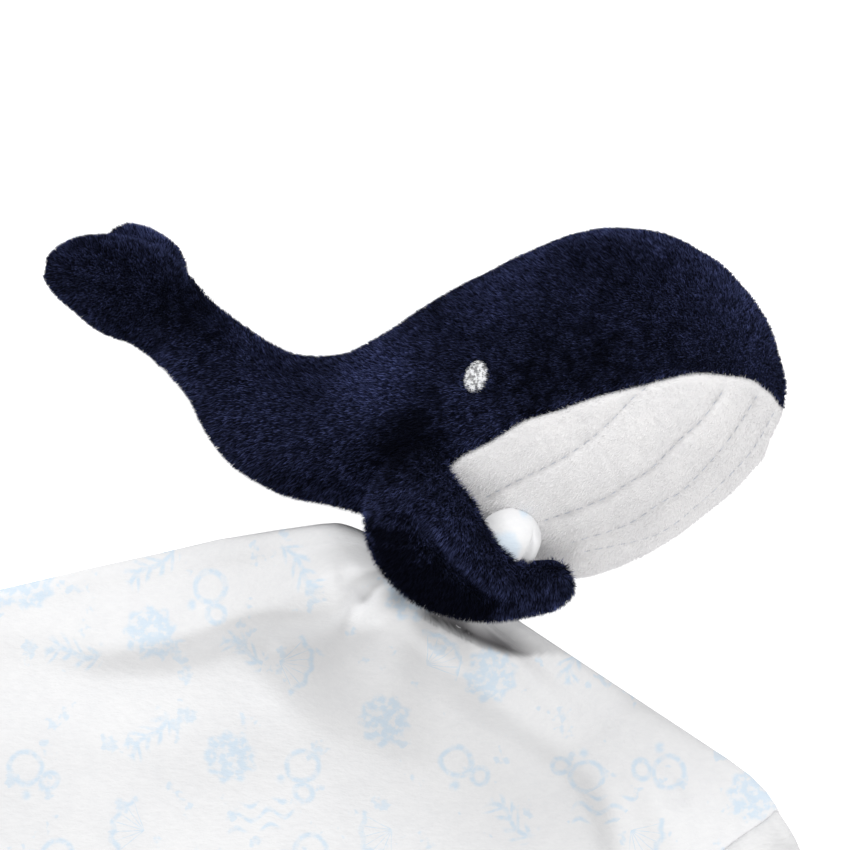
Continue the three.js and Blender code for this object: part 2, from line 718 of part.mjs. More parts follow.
// Rings of the cloth at an inset from its outer face, from the peak down through the neck to the edge
function clothRings(inset) {
  const rings = GATHER.filter(({ radius }) => radius - inset > 1).map(({ at, radius }) => {
    const { centre, side, upper } = gatherFrame(at);
    return CLOTH_ANGLES.map((angle) =>
      centre
        .clone()
        .addScaledVector(side, (radius - inset) * Math.cos(angle))
        .addScaledVector(upper, (radius - inset) * Math.sin(angle)),
    );
  });
  for (let k = 0; k <= clothSteps; k++) {
    const t = k / clothSteps;
    rings.push(
      CLOTH_ANGLES.map((angle) => clothPoint((0.35 * t * t + 0.65 * t) * (laidReach(angle) - edgeRoll), angle, inset)),
    );
  }
  return rings;
}

const poleOf = (rings, inset) => {
  const centre = middleOf(rings[0]);
  const away = centre.clone().sub(middleOf(rings[1])).normalize();
  return centre.addScaledVector(away, peakDome * (1 - inset / 4.5));
};

// One layer of the blanket: a sock that is closed at the peak and open at its edge
function clothLayer(inset) {
  const deeper = inset + blanketPlushThickness;
  const outside = clothRings(inset);
  const inside = clothRings(deeper);
  const rings = [...outside, ...inside.slice().reverse()];
  return closedLoft(poleOf(outside, inset), rings, poleOf(inside, deeper), outside.length);
}

// The turned and sewn edge, a ring of rounded section past the edges of both layers
function edgeSeam() {
  const depth = 2 * blanketPlushThickness + seamGap;
  const corner = (angle, out, inset) => clothPoint(laidReach(angle) - edgeRoll + out, angle, inset);
  const sections = CLOTH_ANGLES.map((angle) => [
    corner(angle, seamGap, 0),
    corner(angle, edgeRoll, depth * 0.25),
    corner(angle, edgeRoll, depth * 0.75),
    corner(angle, seamGap, depth),
  ]);
  const count = sections[0].length;
  const faces = [];
  sections.forEach((_, k) => {
    const a = k * count;
    const b = ((k + 1) % sections.length) * count;
    for (let i = 0; i < count; i++) {
      const j = (i + 1) % count;
      faces.push(a + i, a + j, b + i, a + j, b + j, b + i);
    }
  });
  const positions = new Float32Array(sections.flat().flatMap((p) => p.toArray()));
  const geometry = new THREE.BufferGeometry();
  geometry.setAttribute("position", new THREE.BufferAttribute(positions, 3)).setIndex(faces);
  return facingOut(geometry);
}

function threadRing({ at, radius, thickness }, grow) {
  const { centre, along } = gatherFrame(at);
  const ring = new THREE.TorusGeometry(radius, thickness / 2 + grow, 8, 28);
  const turn = new THREE.Quaternion().setFromUnitVectors(UP, along);
  return solidOf(ring.applyQuaternion(turn).translate(centre.x, centre.y, centre.z));
}

function addBlanket() {
  addPiece("blanket_front", solidOf(clothLayer(0)), COLOURS.print);
  addPiece("blanket_back", solidOf(clothLayer(blanketPlushThickness + seamGap)), COLOURS.plain);
  addPiece("blanket_edge_seam", solidOf(edgeSeam()), COLOURS.plain);
  for (const thread of THREADS) addPiece(thread.name, threadRing(thread, 0), COLOURS.plain);
}

const gatherRings = clothRings(0).slice(0, GATHER.length + 3);
const gatherSolid = closedLoft(poleOf(gatherRings, 0), gatherRings, middleOf(gatherRings.at(-1)));
const gatherRoom = (gap) =>
  THREADS.reduce((room, thread) => room.add(threadRing(thread, gap)), solidOf(offset(gatherSolid, gap)));
const noRoom = () => solidOf(new THREE.BoxGeometry(1, 1, 1).translate(0, 0, -400));

addBodyAndTail();
addFluke();
addPleatStitching();
addPiece("near_eye_embroidery", solidOf(eyePatch(true)), COLOURS.silver, 0.5);
addPiece("far_eye_embroidery", solidOf(eyePatch(false)), COLOURS.silver, 0.5);
addFlipper("near_flipper", false);
addFlipper("far_flipper", true);
addBlanket();

export default root;
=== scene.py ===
import math

import bmesh
import bpy
import numpy as np
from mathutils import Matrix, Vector, kdtree, noise
from mathutils.bvhtree import BVHTree


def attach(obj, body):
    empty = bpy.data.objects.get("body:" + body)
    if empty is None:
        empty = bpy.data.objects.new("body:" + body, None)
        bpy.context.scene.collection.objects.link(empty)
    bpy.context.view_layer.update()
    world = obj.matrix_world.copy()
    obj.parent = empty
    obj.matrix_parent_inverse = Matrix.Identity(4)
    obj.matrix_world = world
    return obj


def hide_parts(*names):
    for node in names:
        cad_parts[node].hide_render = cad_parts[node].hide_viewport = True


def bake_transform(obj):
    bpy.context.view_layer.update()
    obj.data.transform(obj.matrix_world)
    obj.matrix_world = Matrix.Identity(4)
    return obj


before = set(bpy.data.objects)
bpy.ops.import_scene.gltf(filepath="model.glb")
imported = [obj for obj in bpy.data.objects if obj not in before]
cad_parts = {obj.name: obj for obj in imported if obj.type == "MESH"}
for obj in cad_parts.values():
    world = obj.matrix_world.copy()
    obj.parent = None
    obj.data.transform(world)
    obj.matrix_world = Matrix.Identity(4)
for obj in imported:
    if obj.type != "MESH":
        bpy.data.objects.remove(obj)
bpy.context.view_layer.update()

# Sizes in millimetres. The tables below become metres where a mesh is made.
MM = 0.001
BODY = "whale_and_blanket"

# View from straight above
CAMERA_HEIGHT = 1239
PICTURE_PLANE = 39
PICTURE_CENTRE = (-8.7, 128.5)
PICTURE_WIDTH = 246.5
SENSOR = 36

# Whale: back edge and belly edge of each ring, seen from above, from inside the fluke to the snout
WHALE_RINGS = [
    (-82.1, 177.2, -93.4, 154.6),
    (-78.6, 173.7, -91.1, 151.4),
    (-75.4, 170.3, -88.4, 148.2),
    (-71.9, 166.8, -82.6, 141.3),
    (-65.8, 161.6, -77.7, 135.5),
    (-58.3, 156.1, -73.7, 127.6),
    (-50.8, 151.4, -68.1, 119.8),
    (-43.5, 149.1, -60.4, 113.0),
    (-36.2, 148.8, -49.0, 107.6),
    (-29.9, 150.0, -34.6, 105.0),
    (-20.0, 154.9, -18.3, 100.1),
    (-8.7, 162.7, -4.3, 95.7),
    (4.3, 170.0, 7.8, 91.4),
    (17.4, 176.9, 19.4, 87.6),
    (28.4, 182.4, 29.3, 85.3),
    (36.2, 184.8, 36.2, 84.4),
    (44.9, 185.9, 44.9, 86.7),
    (53.6, 185.1, 53.6, 90.5),
    (62.3, 183.0, 62.3, 95.2),
    (71.0, 179.0, 71.0, 101.8),
    (78.3, 173.7, 78.3, 107.6),
    (84.1, 167.6, 84.1, 113.1),
    (89.0, 160.4, 89.0, 119.2),
    (91.8, 152.6, 91.8, 125.9),
    (93.8, 145.0, 93.8, 130.8),
    (94.8, 139.8, 94.8, 134.0),
]
# Height of the whale's middle plane above the table and its half depth, at a place along it
WHALE_DEPTH = [
    (-95, 24.5, 9),
    (-82.5, 25, 11),
    (-69.5, 25.5, 12.5),
    (-59.5, 27, 15),
    (-45.5, 30, 18.5),
    (-30.5, 34, 22.5),
    (-12.5, 37.5, 28),
    (7.3, 39, 34),
    (27.6, 39, 37.6),
    (41, 39, 38.4),
    (53.7, 39, 38),
    (66, 39, 35.4),
    (79.8, 39, 28.6),
    (88.5, 39, 20.4),
    (93, 39, 13.4),
    (95.8, 39, 5),
]
SNOUT_TIP = (95.2, 137, 39)
TAIL_END = (-91.5, 168, 24.5)
# Where the navy plush is painted lighter or darker: partly its nap stroked lighter or darker, partly painted
# highlights where light falls and painted shade in the cheek and on the near flipper: place, size and amount
NAP_AND_PAINTED_LIGHT_SPOTS = [
    (-26, 143, 58, 18, 1.0),
    (-60, 131, 42, 18, 0.4),
    (80, 161, 58, 22, 0.5),
    (12, 172, 58, 18, 0.4),
    (48, 186, 44, 16, 0.4),
    (-90, 187, 12, 8, 0.6),
    (-112, 160, 30, 10, 0.3),
    (1, 88.5, 77, 6, 0.25),
    (11, 82, 74, 6, 0.2),
    (-96, 171, 38, 12, -0.1),
    (27, 83, 68, 9, -0.2),
    (-76, 160, 36, 13, -0.35),
    (-12, 122, 66, 17, -0.6),
    (22, 136, 72, 17, -0.5),
    (44, 148, 76, 16, -0.35),
    (-17, 96, 70, 12, -0.8),
    (-12, 87, 70, 12, -0.8),
    (-4, 80, 70, 11, -0.8),
    (6, 76, 68, 8, -0.8),
]
SKIN_THICKNESS = 1.6
LIMB_SKIN_THICKNESS = 1.3
INNER_LIFT = 0.8  # height above the table that the inside of a skin keeps
# Depth and width of the groove that a seam draws in
SIDE_SEAM = (1.5, 3.4)
BELLY_PANEL_SEAM = (1.3, 2.6)
LIMB_SEAM = (0.9, 2.4)

# Seam between the navy side and the white belly, from under the flipper to the snout
BELLY_SEAM = [
    (-11.6, 94.0),
    (-10.1, 97.8),
    (-7.8, 103.3),
    (-4.9, 109.1),
    (-2.6, 113.1),
    (-0.9, 115.5),
    (3.2, 119.5),
    (9.6, 123.6),
    (18.6, 129.4),
    (29.0, 132.8),
    (38.9, 136.3),
    (49.3, 139.2),
    (60.3, 141.8),
    (68.7, 143.3),
    (77.7, 142.6),
    (84.7, 141.4),
    (88.6, 139.0),
    (91.9, 136.2),
    (94.5, 132.8),
    (96.2, 131.5),
]
# Rows of stitching that pleat the belly, from the seam back to under the flipper
PLEATS = [
    [(52.8, 138.4), (49.9, 136.3), (44.4, 130.5), (37.4, 124.2), (29.0, 118.6), (16.5, 112.3), (9.0, 108.2)],
    [(75.1, 137.5), (69.3, 129.9), (63.2, 124.4), (54.8, 116.0), (48.4, 112.0), (40.3, 107.0), (25.5, 101.5)],
    [(85.5, 136.4), (80.6, 128.8), (75.7, 122.1), (65.2, 110.5), (58.3, 106.5), (48.4, 100.1), (33.3, 95.2)],
    [(91.1, 131.6), (84.7, 121.0), (75.7, 111.4), (69.3, 105.6), (61.8, 99.5), (54.2, 96.0), (37.4, 92.5)],
]
LOWEST_PLEAT = [
    (92.6, 127.4), (86.4, 116.8), (78.0, 108.4), (70.0, 102.2), (62.0, 96.0), (52.0, 91.4), (38.0, 88.6),
]
PILE_REACH = 0.9  # the skin's outline lies this far inside that of its pile
PLEAT_DEPTH = 0.7
PLEAT_WIDTH = 1.1
PLEAT_PUFF = 0.45
PUFF_REACH = 7  # the cloth between two rows of stitching has its full puff this far from them
PUCKER_HEIGHT = 0.35
PUCKER_SIZE = 5
STITCH_LENGTH = 2.5
STITCH_SPACING = 3.5
STITCH_RADIUS = 0.17

EYE_PLACE = (5.8, 142.1)
EYE_LENGTH = 9.6
EYE_WIDTH = 6.9
EYE_LEAN = math.radians(-17)
EYE_DOME = 1.1
EYE_THREADS = 34
EYE_THREAD_RADIUS = 0.2
EYE_SIDES = 40
EYE_RINGS = 6

# Flipper rings: edge along the belly and outer edge with their heights, and half the thickness
FLIPPER_RINGS = [
    (-4.5, 122.0, 67.0, -19.0, 115.0, 63.6, 4.2),
    (-2.6, 116.6, 69.8, -24.0, 108.6, 66.2, 5.4),
    (0.9, 111.6, 72.0, -25.2, 101.5, 66.6, 6.0),
    (4.2, 106.6, 73.2, -23.8, 94.0, 66.4, 6.4),
    (6.6, 101.4, 73.5, -20.2, 87.2, 65.8, 6.7),
    (8.9, 96.8, 73.2, -15.0, 81.6, 65.0, 6.8),
    (12.2, 92.6, 72.4, -8.4, 77.3, 64.2, 6.7),
    (16.4, 89.4, 71.3, -0.8, 75.0, 63.4, 6.5),
    (20.8, 88.0, 70.0, 7.4, 74.1, 62.6, 6.3),
    (25.2, 88.6, 68.6, 15.2, 74.5, 62.0, 6.0),
    (29.4, 88.8, 67.2, 22.6, 75.4, 61.6, 5.4),
    (32.2, 86.8, 65.6, 28.2, 76.8, 61.4, 4.4),
    (33.2, 83.6, 64.2, 31.6, 79.2, 61.4, 2.7),
]
FLIPPER_ROOT = (-13, 120, 62.5)
FLIPPER_TIP = (33.5, 81.2, 62.4)
# The inner lobe of the flipper lies over its outer part along this line
FLIPPER_RIDGE = [(-11.5, 107.0), (-6.4, 98.3), (-0.2, 90.8), (6.0, 84.4), (12.2, 80.4), (19.0, 78.2)]
RIDGE_HEIGHT = 2.6
RIDGE_WIDTH = 13
RIDGE_VALLEY = 2.8
VALLEY_WIDTH = 2.2
RIDGE_FADE = 22
FLIPPER_BEND = [(-15.6, 117.2, 70), (-12.4, 106.2, 70)]
MIRROR_HEIGHT = 78  # a point of the near flipper and its mirror image on the far one add up to this height

# Fluke lobes: edge towards the back and edge towards the belly with their heights, and half the thickness
NEAR_LOBE_RINGS = [
    (-74.6, 166.4, 25.0, -85.5, 145.6, 25.0, 9.6),
    (-79.0, 170.8, 26.0, -89.3, 149.4, 26.0, 9.8),
    (-84.1, 178.1, 28.0, -94.8, 152.9, 28.0, 9.4),
    (-91.9, 181.9, 30.0, -100.6, 154.9, 30.0, 8.8),
    (-99.5, 183.3, 32.0, -105.8, 157.8, 32.0, 8.2),
    (-105.8, 183.3, 33.4, -110.5, 162.0, 33.4, 7.4),
    (-111.1, 182.0, 34.2, -114.5, 165.4, 34.2, 6.4),
    (-115.6, 179.5, 34.8, -117.4, 168.8, 34.8, 5.0),
    (-118.2, 176.6, 35.0, -118.9, 171.9, 35.0, 3.0),
]
NEAR_LOBE_ROOT = (-74, 154, 25)
NEAR_LOBE_TIP = (-119.3, 174.4, 35)
FAR_LOBE_RINGS = [
    (-78.4, 168.2, 23.0, -89.0, 150.5, 23.0, 8.4),
    (-80.4, 173.4, 18.5, -94.5, 157.5, 19.0, 8.2),
    (-81.6, 179.4, 13.5, -99.2, 164.5, 14.5, 7.8),
    (-86.0, 183.4, 9.8, -102.6, 171.4, 10.8, 7.0),
    (-91.2, 186.0, 7.6, -104.0, 177.8, 8.2, 6.0),
    (-96.2, 187.1, 6.4, -103.6, 182.6, 6.6, 4.2),
]
FAR_LOBE_ROOT = (-79, 158, 24)
FAR_LOBE_TIP = (-100.4, 186.4, 6.2)

# Blanket
BLANKET_SIDE = 300
CORNER_RADIUS = 24
CORNER_TURN = math.radians(8)
# How much of the cloth is pulled through the flippers: more in the right half of the fan, and less again at
# its fold. Each change starts at a share of the fan and takes another share.
PULLED_THROUGH = 28.4
PULLED_MORE_AT_RIGHT = 7
PULLED_LESS_AT_FOLD = 3
RIGHT_HALF = (0.5, 0.2)
RIGHT_FOLD = (0.82, 0.18)
CLOTH_THICKNESS = 1.7
LAYER_GAP = 0.3
LEFT_FOLD_ROOT = (-14.5, 98.5)
RIGHT_FOLD_ROOT = (1.0, 83.5)
LEFT_FOLD_ANGLE = math.radians(188.4)
RIGHT_FOLD_ANGLE = math.radians(326.5)
# How far the outline of the left fold stands out, at a distance from its root
LEFT_FOLD_BOW = [
    (0, 2.6), (12, 4.0), (24, 5.0), (37, 5.1), (54.5, 4.9), (72, 3.4), (89.7, 2.2), (107, 0.7), (119, -0.3),
    (150, -0.8),
]
# How far the outline of the right fold stands out; it rounds off into the loose corner
RIGHT_FOLD_BOW = [(0, 0.0), (94, 0.0), (102, -0.4), (108, -1.6), (113, -3.6), (118, -6.6), (150, -14.0)]
BOW_SHARE = 0.3  # this much of the fan follows the bow of a fold
FOLD_ZONE = math.radians(5)
FALL_TOP = 31
FALL_START = 20
FALL_END = 62
LAID_HEIGHT = 9.4
PUFF_HEIGHT = 9
PUFF_PLACE = (46, 30)  # middle and width of the puff, as distances from the roots of the folds
ROOT_HEIGHT = 6
ROOT_REACH = 25
EDGE_SHARE = 0.78  # the laid cloth is this much of its height at its two folds, and all of it further in
EDGE_SOFTNESS = 0.17
NECK = (-1.5, 82, 40)
NECK_RADIUS = 8.6
NECK_BLEND = 20
ELBOW = (5, 86, 58)
PEAK = (15.4, 96.2, 66)
GATHER_LENGTH = 32
# Radius of the gather along it: 0 is its neck, 1 its peak
GATHER_RINGS = [
    (1.28, 1.2), (1.25, 3.9), (1.17, 7.0), (1.0, 8.8), (0.84, 7.7), (0.66, 6.4), (0.4, 6.4), (0.18, 7.4),
]
# The crease along the gather and the swell beside it: height, angle round the gather and width
GATHER_CREASE = [(-1.5, 2.25, 0.14), (0.5, 2.6, 0.25)]
# Each loop of thread round the gather: its place along it, its radius and half its thickness
BINDING_THREADS = [
    ("gather_binding_thread", 0.2, 7.9, 0.55),
    ("belly_tack_stitch_1", 0.5, 6.9, 0.42),
    ("belly_tack_stitch_2", 0.66, 6.9, 0.42),
]
# Foot of the broad bulge: the cloth above this line stands higher, by the third number
STEP_LINE = [
    (-160, 62, 3.0), (-131.9, 57.5, 4.0), (-107.3, 52.5, 5.0), (-82.6, 54.3, 6.0), (-61.2, 62.4, 7.4),
    (-46.4, 62.4, 7.6), (-26.7, 59.2, 7.0), (-13.6, 52.5, 6.6), (-0.6, 44.4, 6.2), (15.9, 34.5, 5.6),
    (29.0, 26.1, 4.8), (38.0, 14.0, 3.6), (43.0, -2.0, 2.4), (46.0, -24.0, 1.2),
]
STEP_WIDTH = 13
# Folds in the upper half of the blanket: places along each, its height and its width
FOLDS = [
    ([(-34, 91), (-46, 86), (-60, 82), (-78, 79), (-98, 76), (-120, 74), (-150, 72)], 2.6, 9),
    ([(-14, 74), (-9, 65), (0, 57.5), (9, 50), (24, 38), (39, 26), (46, 14), (50, -6)], 3.4, 5),
    ([(43, 55), (49, 44), (54, 36), (60, 29), (66, 18)], -5.0, 3.4),
    ([(52, 49), (62, 41), (74, 31), (84, 20)], 2.2, 5),
    ([(60, 22), (64, 8), (66, -8), (70, -26)], 2.0, 7),
    ([(-21, 85), (-28, 76), (-38, 68), (-50, 64)], -2.6, 3.6),
    ([(-25, 93), (-31, 90), (-31, 84), (-27, 79)], -2.8, 3.0),
    ([(-36, 74), (-60, 72), (-84, 66), (-104, 62)], 1.8, 5),
    ([(-60, 40), (-88, 34), (-118, 36), (-146, 30)], 1.6, 12),
    ([(-8, 32), (-16, 16), (-20, -8)], 1.6, 12),
]
# The cloth under the near flipper drops behind this lip into a pocket, whose shade is also painted into its
# colour
POCKET_LIP = [(-16, 78), (-11, 74), (-1, 69), (9.3, 64.3), (20, 61), (28, 61.2), (36, 60)]
POCKET_DEPTH = [(0, 0.0), (5, 0.2), (11, 1.0), (34, 1.0), (50, 0.2), (60, 0.0)]
POCKET_FALL = 8.5
POCKET_WIDTH = 7
POCKET_SHADE_WIDTH = 6.5
POCKET_FLOOR = 12  # cloth below this height belongs to the lower half
# Waves of the gathered cloth from fold to fold, above and below: their number, height and phase
GATHER_WAVES = [(3, 1.3, 0.4), (5, 1.0, 1.9)]
LOWER_WAVES = [(23, 7.2, 0.4), (5, 0.8, 0.7)]
# Middle and width of those waves, as distances from the roots of the folds
GATHER_PLACE = (30, 26)
LOWER_PLACE = (62, 50)
LOWER_START = (28, 14)
LOWER_ROOM = 7.9  # height that the lower waves leave free
# Softness of the upper half: height and size of its lumps
SOFT_HEIGHT = 0.9
SOFT_SIZE = 24
# The hem rolls from one share of the fan on, and a little less near the fold
ROLL_START = (0.64, 0.2)
ROLL_END = (0.9, 0.1)
ROLL_LESS_AT_FOLD = 0.35
# Section of the hem: depth into the cloth, distance from its middle, and how far the loose roll at the right
# corner takes it outwards and up
HEM_SECTION = [
    (0.0, 1.001, -9.0, 0.2), (0.0, 1.003, -8.0, 2.0), (0.0, 1.005, -5.0, 3.6), (0.0, 1.007, -1.0, 4.2),
    (0.1, 1.010, 4.0, 3.2), (0.3, 1.014, 8.0, 1.0), (0.5, 1.017, 10.0, -2.0), (0.7, 1.014, 8.6, -4.6),
    (0.9, 1.011, 5.0, -5.4), (1.0, 1.006, 1.0, -3.0), (1.0, 1.001, 0.0, 0.0),
]

# Print on the blanket: the dabs on the peak and the bare cloth round them have a place and a size
PEAK_DABS = [(13.4, 93.6, 5.4), (19.6, 103.6, 2.2)]
PRINT_FREE = (16, 99, 8)
PRINT_SPACING = 25.5
PRINT_COLOUR = (0.44, 0.67, 0.88, 1)
PRINT_STRENGTH = 0.42
# Painted shade: the dark grey painted into the pocket under the near flipper
POCKET_PAINTED_SHADE_COLOUR = (0.13, 0.125, 0.13, 1)

# Plush: how rough it looks, and its pile with the number of fibres, their length and thickness, how the nap
# leans and a seed
PLUSH_ROUGHNESS = 0.92
SHEEN_ROUGHNESS = 0.42
PLUSH_RELIEF = 1.1
LOWEST_FIBRE = 0.2
BODY_NAP = (-0.75, -0.15, 0.0)
FLUKE_NAP = (-0.5, 0.1, 0)
FLIPPER_NAP = (-0.35, -0.6, 0.0)
PILES = {
    "near_tail_pile": (34000, 1.8, 0.15, BODY_NAP, 1),
    "near_head_pile": (49000, 1.8, 0.15, BODY_NAP, 2),
    "far_side_pile": (44000, 1.8, 0.15, BODY_NAP, 3),
    "belly_pile": (46000, 1.2, 0.1, BODY_NAP, 4),
    "near_lobe_upper_pile": (16000, 1.8, 0.15, FLUKE_NAP, 16),
    "near_lobe_lower_pile": (9000, 1.8, 0.15, FLUKE_NAP, 16),
    "far_lobe_upper_pile": (16000, 1.8, 0.15, FLUKE_NAP, 26),
    "far_lobe_lower_pile": (9000, 1.8, 0.15, FLUKE_NAP, 26),
    "near_flipper_outer_pile": (27000, 2.5, 0.17, FLIPPER_NAP, 43),
    "near_flipper_inner_pile": (14000, 2.5, 0.17, FLIPPER_NAP, 43),
    "far_flipper_outer_pile": (9000, 2.5, 0.17, FLIPPER_NAP, 36),
    "far_flipper_inner_pile": (9000, 2.5, 0.17, FLIPPER_NAP, 36),
}

# Fineness of the meshes: the spacing of rows in millimetres and the number of columns
NEAR_FINENESS = (0.85, 112)
FAR_FINENESS = (1.4, 80)
BELLY_COLUMNS = 190
LOBE_FINENESS = (0.9, 56)
NEAR_FLIPPER_FINENESS = (0.8, 72)
FAR_FLIPPER_FINENESS = (1.4, 40)
# Columns over the upper half, over the lower half and round a fold; rows near the gather and further out
FRONT_COLUMNS = (172, 96, 9)
FRONT_ROWS = (40, 110)
BACK_COLUMNS = (140, 170, 7)
BACK_ROWS = (20, 60)

# Lights: place in metres, size and power
LAMPS = {
    "window light": ((-0.35, 1.15, 0.85), 0.45, 8.8),
    "soft fill": ((0.8, -0.3, 1.0), 0.9, 5.4),
}
LIT_PLACE = (0, 0.11, 0.03)
SKY_COLOUR = (1.0, 0.995, 0.99, 1)
SKY_STRENGTH = 0.66
FLOOR_REACH = 3.0
FLOOR_HEIGHT = -0.0005
FLOOR_GLOW = 1.0  # lifts the floor to pure white for the camera


# Small helpers


def smooth(t):
    c = np.clip(t, 0, 1)
    return c * c * (3 - 2 * c)


def rise(values, start, length):
    """0 up to the start, 1 beyond the length and a smooth step between them."""
    return smooth((values - start) / length)


def bell(values, middle, width):
    """1 at the middle, and less on both sides of it over a width."""
    return np.exp(-(((values - middle) / width) ** 2))


def seen_place(x, y, z):
    """Where a point at height z lies that the camera sees at x, y of the picture plane."""
    share = (CAMERA_HEIGHT - z) / (CAMERA_HEIGHT - PICTURE_PLANE)
    centre_x, centre_y = PICTURE_CENTRE
    return centre_x + (x - centre_x) * share, centre_y + (y - centre_y) * share


def unit(vectors):
    return vectors / np.linalg.norm(vectors, axis=-1, keepdims=True)


def circle(centre, side, upper, radius, angles):
    """Points round a centre: at angle 0 in the direction of side, and upper is a quarter turn further."""
    return centre + side * (radius * np.cos(angles))[..., None] + upper * (radius * np.sin(angles))[..., None]


def smooth_rows(table, spacing):
    """Rows of a table on a smooth curve, at an even spacing in millimetres."""
    rows = np.array(table, float)
    steps = 16
    before = np.vstack([2 * rows[0] - rows[1], rows[:-1]])
    after = np.vstack([rows[1:], 2 * rows[-1] - rows[-2]])
    dense = []
    for k in range(len(rows) - 1):
        t = (np.arange(steps) / steps)[:, None]
        a, b, c, d = before[k], rows[k], rows[k + 1], after[k + 1]
        dense.append(
            0.5 * (2 * b + (c - a) * t + (2 * a - 5 * b + 4 * c - d) * t**2 + (3 * b - a - 3 * c + d) * t**3)
        )
    dense = np.vstack(dense + [rows[-1:]])
    move = np.diff(dense, axis=0)
    if dense.shape[1] > 3:
        step = 0.5 * (np.linalg.norm(move[:, :3], axis=1) + np.linalg.norm(move[:, 3:6], axis=1))
    else:
        step = np.linalg.norm(move, axis=1)
    along = np.concatenate([[0], np.cumsum(step)])
    places = np.linspace(0, along[-1], max(int(along[-1] / spacing), 2) + 1)
    return np.column_stack([np.interp(places, along, dense[:, c]) for c in range(dense.shape[1])])


def noise_at(points, size, seed=0):
    """Smooth noise from -1 to 1 at each point, with lumps of a size in millimetres."""
    shift = Vector((seed * 17.3, seed * 5.1, seed * 9.7))
    flat = points.reshape(-1, 3) / size
    values = [noise.noise(Vector(p) + shift) for p in flat.tolist()]
    return np.array(values).reshape(points.shape[:-1])


def grid_normals(grid, outward_from):
    """Normals of a grid of points, pointing away from the middle of each row."""
    along = np.gradient(grid, axis=0)
    across = np.gradient(grid, axis=1)
    normal = np.cross(along, across)
    length = np.linalg.norm(normal, axis=2, keepdims=True)
    normal = normal / np.maximum(length, 1e-9)
    away = grid - outward_from
    turned = np.where((normal * away).sum(axis=2).mean() < 0, -1.0, 1.0)
    return normal * turned


def line_points(line, spacing=0.5):
    return smooth_rows([(x, y, 0) for x, y in line], spacing)[:, :2]


def nearest_on(points, line):
    """For each point, the number of the nearest point of a dense line and how far away it is."""
    tree = kdtree.KDTree(len(line))
    for i, p in enumerate(line.tolist()):
        tree.insert((*p, 0)[:3], i)
    tree.balance()
    found = [tree.find((*p, 0)[:3]) for p in points.tolist()]
    return np.array([f[1] for f in found]), np.array([f[2] for f in found])


def side_of(points, line):
    """Signed distance of each point from a line seen from above, positive on its left as it runs, and the
    nearest place on the line."""
    flat = points.reshape(-1, points.shape[-1])[:, :2]
    line = line[:, :2]
    nearest, _ = nearest_on(flat, line)
    along = unit(np.gradient(line, axis=0))
    off = flat - line[nearest]
    across = along[nearest, 0] * off[:, 1] - along[nearest, 1] * off[:, 0]
    signed = np.sign(across) * np.linalg.norm(off, axis=1)
    return signed.reshape(points.shape[:-1]), nearest.reshape(points.shape[:-1])


def distance_to(points, line):
    """Distance of each point from a dense line of points, in as many dimensions as both have."""
    _, distance = nearest_on(points.reshape(-1, points.shape[-1]), line)
    return distance.reshape(points.shape[:-1])


# Meshes


def placed_object(name, data):
    piece = bpy.data.objects.new(name, data)
    bpy.context.scene.collection.objects.link(piece)
    return piece


def vertex_places(mesh):
    places = np.empty(len(mesh.vertices) * 3)
    mesh.vertices.foreach_get("co", places)
    return places.reshape(-1, 3)


def make_mesh(name, vertices, faces, material, slot):
    mesh = bpy.data.meshes.new(name)
    mesh.from_pydata((np.asarray(vertices) * MM).tolist(), [], faces)
    mesh.materials.append(material)
    piece = placed_object(name, mesh)
    weld(mesh)
    mesh.polygons.foreach_set("use_smooth", [True] * len(mesh.polygons))
    return piece


def weld(mesh):
    work = bmesh.new()
    work.from_mesh(mesh)
    bmesh.ops.remove_doubles(work, verts=work.verts, dist=0.00002)
    bmesh.ops.dissolve_degenerate(work, edges=work.edges, dist=0.00001)
    bmesh.ops.recalc_face_normals(work, faces=work.faces)
    if work.calc_volume(signed=True) < 0:
        bmesh.ops.reverse_faces(work, faces=work.faces)
    work.to_mesh(mesh)
    work.free()


def grid_faces(rows, columns, start=0, closed=False, flip=False):
    across = columns if closed else columns - 1
    j, i = np.meshgrid(np.arange(rows - 1), np.arange(across), indexing="ij")
    a = start + j * columns + i
    b = start + j * columns + (i + 1) % columns
    faces = np.stack([a, b, b + columns, a + columns], axis=-1).reshape(-1, 4)
    return (faces[:, ::-1] if flip else faces).tolist()


def shell_between(outer, inner, closed=False):
    """Vertices and faces of the closed wall between two grids of points."""
    rows, columns = outer.shape[:2]
    count = rows * columns
    faces = grid_faces(rows, columns, 0, closed) + grid_faces(rows, columns, count, closed, flip=True)
    ends = [np.arange(columns), np.arange(columns) + (rows - 1) * columns]
    if not closed:
        ends += [np.arange(rows) * columns, np.arange(rows) * columns + columns - 1]
    for edge in ends:
        following = np.roll(edge, -1) if closed else edge[1:]
        current = edge if closed else edge[:-1]
        faces += np.stack([current, following, following + count, current + count], axis=-1).tolist()
    return np.vstack([outer.reshape(-1, 3), inner.reshape(-1, 3)]), faces


